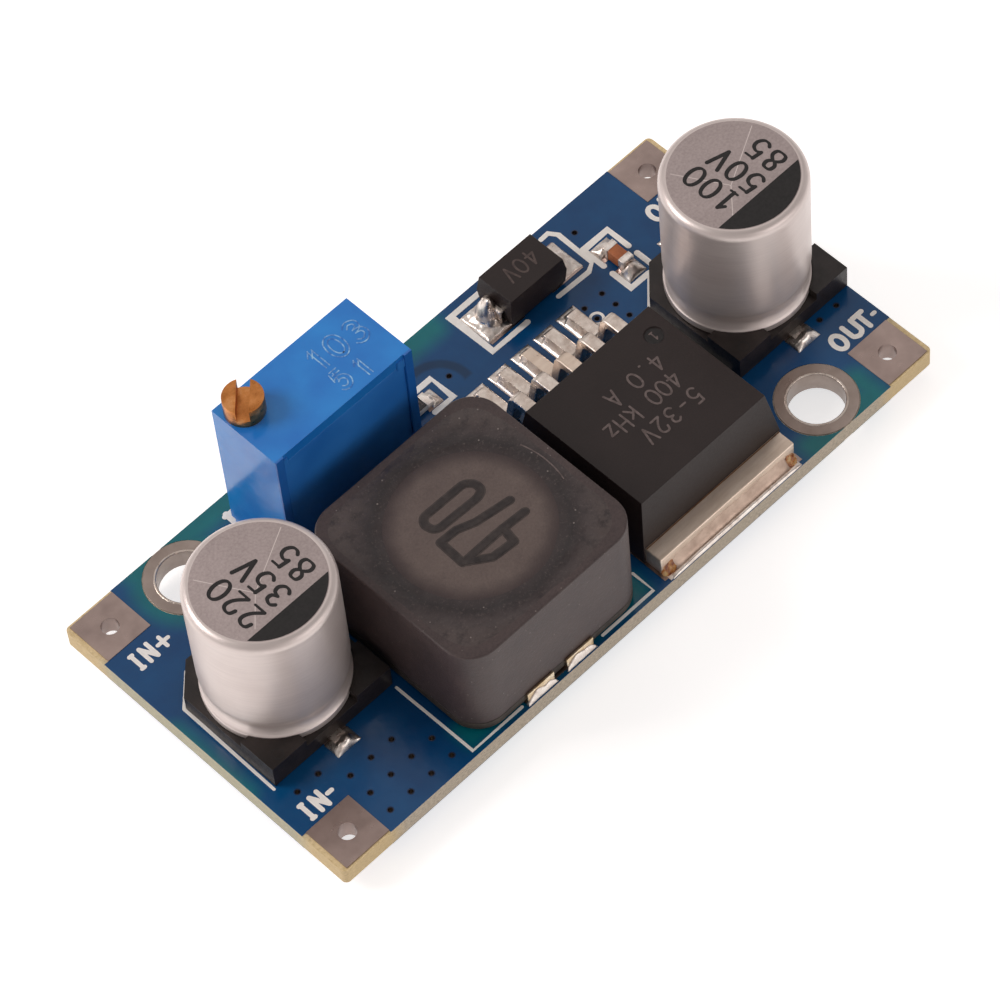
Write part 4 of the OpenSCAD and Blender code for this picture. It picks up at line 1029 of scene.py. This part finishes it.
def diode():
    soften("diode_body", 0.08, M["mould"], segments=3, angle=20)
    soften("diode_leads", 0.05, M["leadframe"])
    marks("diode_marks", [("40V", 9.6, 8.15)], 0.98, M["laser_faint"], box("diode_body")[1].z, along=(-1, 0),
          pitch=0.78, thick=0.12, wide=0.55, lift=0.005)
    lo, hi = box("diode_leads")
    lumps = [(lo.x - 0.1, 8.1, 0.7, 0.3), (lo.x - 0.6, 8.8, 0.3, 0.1)]
    domes = [(lo.x + 0.02, 8.3, 0.72, 1.2), (lo.x - 0.1, 7.8, 0.5, 0.35)]
    left = pool(lo.x - 1.15, lo.x + 0.6, 6.98, 9.3, 0.16, 41, lumps, n=60, rough=0.07, square=8, domes=domes)
    right = pool(hi.x - 0.6, hi.x + 1.0, 6.95, 9.2, 0.1, 42, [(hi.x + 0.1, 8.1, 0.6, 0.4)], n=24)
    joined("solder_diode_ends", [left, right], "solder_diode")


def chip_parts():
    soften("mlcc_body", 0.05, M["chip_ceramic"])
    soften("mlcc_end_caps", 0.07, M["solder"])
    soften("resistor_body", 0.03, M["alumina"])
    soften("resistor_glaze", 0.02, M["glaze"])
    soften("resistor_end_caps", 0.05, M["solder"])
    marks("resistor_marks", [("331", *middle("resistor_glaze"))], 0.34, M["laser_mark"], box("resistor_glaze")[1].z,
          pitch=0.24, thick=0.05, wide=0.5, lift=0.004)
    lo, hi = box("mlcc_end_caps")
    x, y = middle("mlcc_end_caps")[0], middle("resistor_end_caps")[1]
    near, far = (x - 0.05, lo.y - 0.05, 0.5, 0.45), (x + 0.05, hi.y, 0.5, 0.5)
    ends = [pool(x - 0.65, x + 0.65, lo.y - 0.72, lo.y + 0.12, 0.12, 51, [near], rough=0.08),
            pool(x - 0.65, x + 0.65, hi.y - 0.12, hi.y + 0.72, 0.12, 52, [far], rough=0.08)]
    lo, hi = box("resistor_end_caps")
    ends += [pool(lo.x - 0.5, lo.x + 0.12, lo.y - 0.05, hi.y + 0.05, 0.1, 53, [(lo.x, y, 0.35, 0.25)]),
             pool(hi.x - 0.12, hi.x + 0.6, lo.y - 0.1, hi.y + 0.1, 0.14, 54, [(hi.x + 0.05, y, 0.35, 0.3)])]
    joined("solder_chip_ends", ends, "solder_chip_parts")


# ---- trimmer

def trimmer():
    soften("trimmer_housing", 0.08, M["trimmer_blue"])
    # the cover takes the darker blue, a painted shade
    soften("trimmer_cover", 0.05, M["trimmer_navy"])
    soften("trimmer_screw", 0.04, M["brass"], angle=45)
    lo, hi = box("trimmer_housing")
    # the lettering is raised outlines whose pale blue is a painted highlight
    raised = dict(material=M["trimmer_lettering_glint"], z=hi.z, thick=0.24, hollow=0.07, lift=0.012)
    marks("trimmer_marks", [("l", -5.18, 7.26), ("0", -3.95, 7.19), ("3", -2.62, 7.11)], 1.35, wide=0.62, **raised)
    marks("trimmer_marks_low", [("5", -5.18, 5.54), ("l", -3.96, 5.25)], 1.15, **raised)
    # small mould tags where the cover meets the ends of the housing
    tags = []
    y0, y1 = lo.y + 0.02, lo.y + 0.42
    for x, w in ((lo.x + 0.55, 0.5), (hi.x - 0.75, 0.55)):
        x0, x1 = x - w / 2, x + w / 2
        outline = rounded([(x0, y0), (x1, y0), (x1, y1), (x0, y1)], 0.12)
        tags.append(prism([(p.x, p.y) for p in outline], hi.z - 0.9, hi.z - 0.25))
    # the tags take the cover's darker blue, a painted shade
    piece("trimmer_tags", *merge(*tags), M["trimmer_navy"])


# ---- floor, lights, camera

def floor_material():
    """A plain pale floor that keeps shadows, and looks white to the camera and in metal and resin."""
    m = bpy.data.materials.new("floor")
    m.use_nodes = True
    t = m.node_tree
    t.nodes.clear()
    path = add(t, "LightPath")
    seen = path.outputs["Is Camera Ray"]
    for other in ("Is Glossy Ray", "Is Transmission Ray"):
        seen = add(t, "Math", seen, path.outputs[other], operation="MAXIMUM").outputs[0]
    diffuse = add(t, "BsdfDiffuse", (0.8, 0.78, 0.77, 1)).outputs[0]
    glow = add(t, "Emission", (1, 1, 1, 1), 0.63).outputs[0]
    both = add(t, "AddShader", diffuse, glow).outputs[0]
    add(t, "OutputMaterial", add(t, "MixShader", seen, diffuse, both).outputs[0])
    return m


def floor():
    """In metres: a square at the part's lowest point."""
    ground, reach = cad_box[0][2], 2.0
    me = bpy.data.meshes.new("floor")
    corners = [(-reach, -reach, ground), (reach, -reach, ground), (reach, reach, ground), (-reach, reach, ground)]
    me.from_pydata(corners, [], [[0, 1, 2, 3]])
    me.materials.append(floor_material())
    placed("floor", me)


def area_light(name, place, size, power):
    """A soft rectangular light that looks at the part's middle."""
    data = bpy.data.lights.new(name, "AREA")
    data.shape = "RECTANGLE"
    data.size, data.size_y = size[0] * MM, size[1] * MM
    data.energy = power
    data.color = (1.0, 0.945, 0.92)
    at, to = Vector(place) * MM, Vector((0, 0, 4)) * MM
    placed(name, data).matrix_world = Matrix.Translation(at) @ (at - to).to_track_quat("Z", "Y").to_matrix().to_4x4()


def studio_walls():
    """A world that is brighter at the walls than at the ceiling."""
    world = bpy.data.worlds.new("studio")
    scene.world = world
    world.use_nodes = True
    tree = world.node_tree
    split = add(tree, "SeparateXYZ", add(tree, "TexCoord").outputs["Generated"])
    ramp = add(tree, "ValToRGB", split.outputs["Z"])
    tree.links.new(ramp.outputs[0], tree.nodes["Background"].inputs["Color"])
    ramp.color_ramp.elements.new(0.5)
    for stop, place, grey in zip(ramp.color_ramp.elements, (0.0, 0.45, 1.0), (0.7, 0.42, 0.28)):
        stop.position = place
        stop.color = (grey, grey * 0.945, grey * 0.925, 1)
    tree.nodes["Background"].inputs["Strength"].default_value = 1.0


def photo_camera():
    """The photograph's view: from the input end and the near side, well above, and slightly tilted."""
    turn, rise, roll = math.radians(-39.546), math.radians(56.580), math.radians(-6.384)
    back = Vector((math.sin(turn) * math.cos(rise), -math.cos(turn) * math.cos(rise), math.sin(rise)))
    right = Vector((math.cos(turn), math.sin(turn), 0))
    up = back.cross(right)
    right, up = (right * math.cos(roll) + up * math.sin(roll), up * math.cos(roll) - right * math.sin(roll))
    data = bpy.data.cameras.new("camera")
    data.sensor_width = 36
    data.lens = 181.68
    data.clip_start = 0.01
    ob = placed("camera", data)
    eye = Vector((-92.3461, -111.4508, 219.4422)) * MM
    ob.matrix_world = Matrix.Translation(eye) @ Matrix((right, up, back)).transposed().to_4x4()
    scene.camera = ob


board()
capacitor("in", [("220", -18.0, -0.28), ("35V", -16.25, -0.35), ("85", -14.42, -0.7)], -2.3)
capacitor("out", [("100", 15.97, 0.07), ("50V", 17.68, -0.13), ("85", 19.48, -0.54)], -1.97)
capacitor_feet()
inductor()
converter_chip()
diode()
chip_parts()
trimmer()

floor()
area_light("key", (-220, 220, 250), (170, 170), 0.7)
area_light("fill", (90, -330, 150), (300, 160), 0.22)
area_light("panel", (140, 168, 332), (300, 300), 0.14)
studio_walls()
photo_camera()
scene.view_settings.view_transform = "Standard"
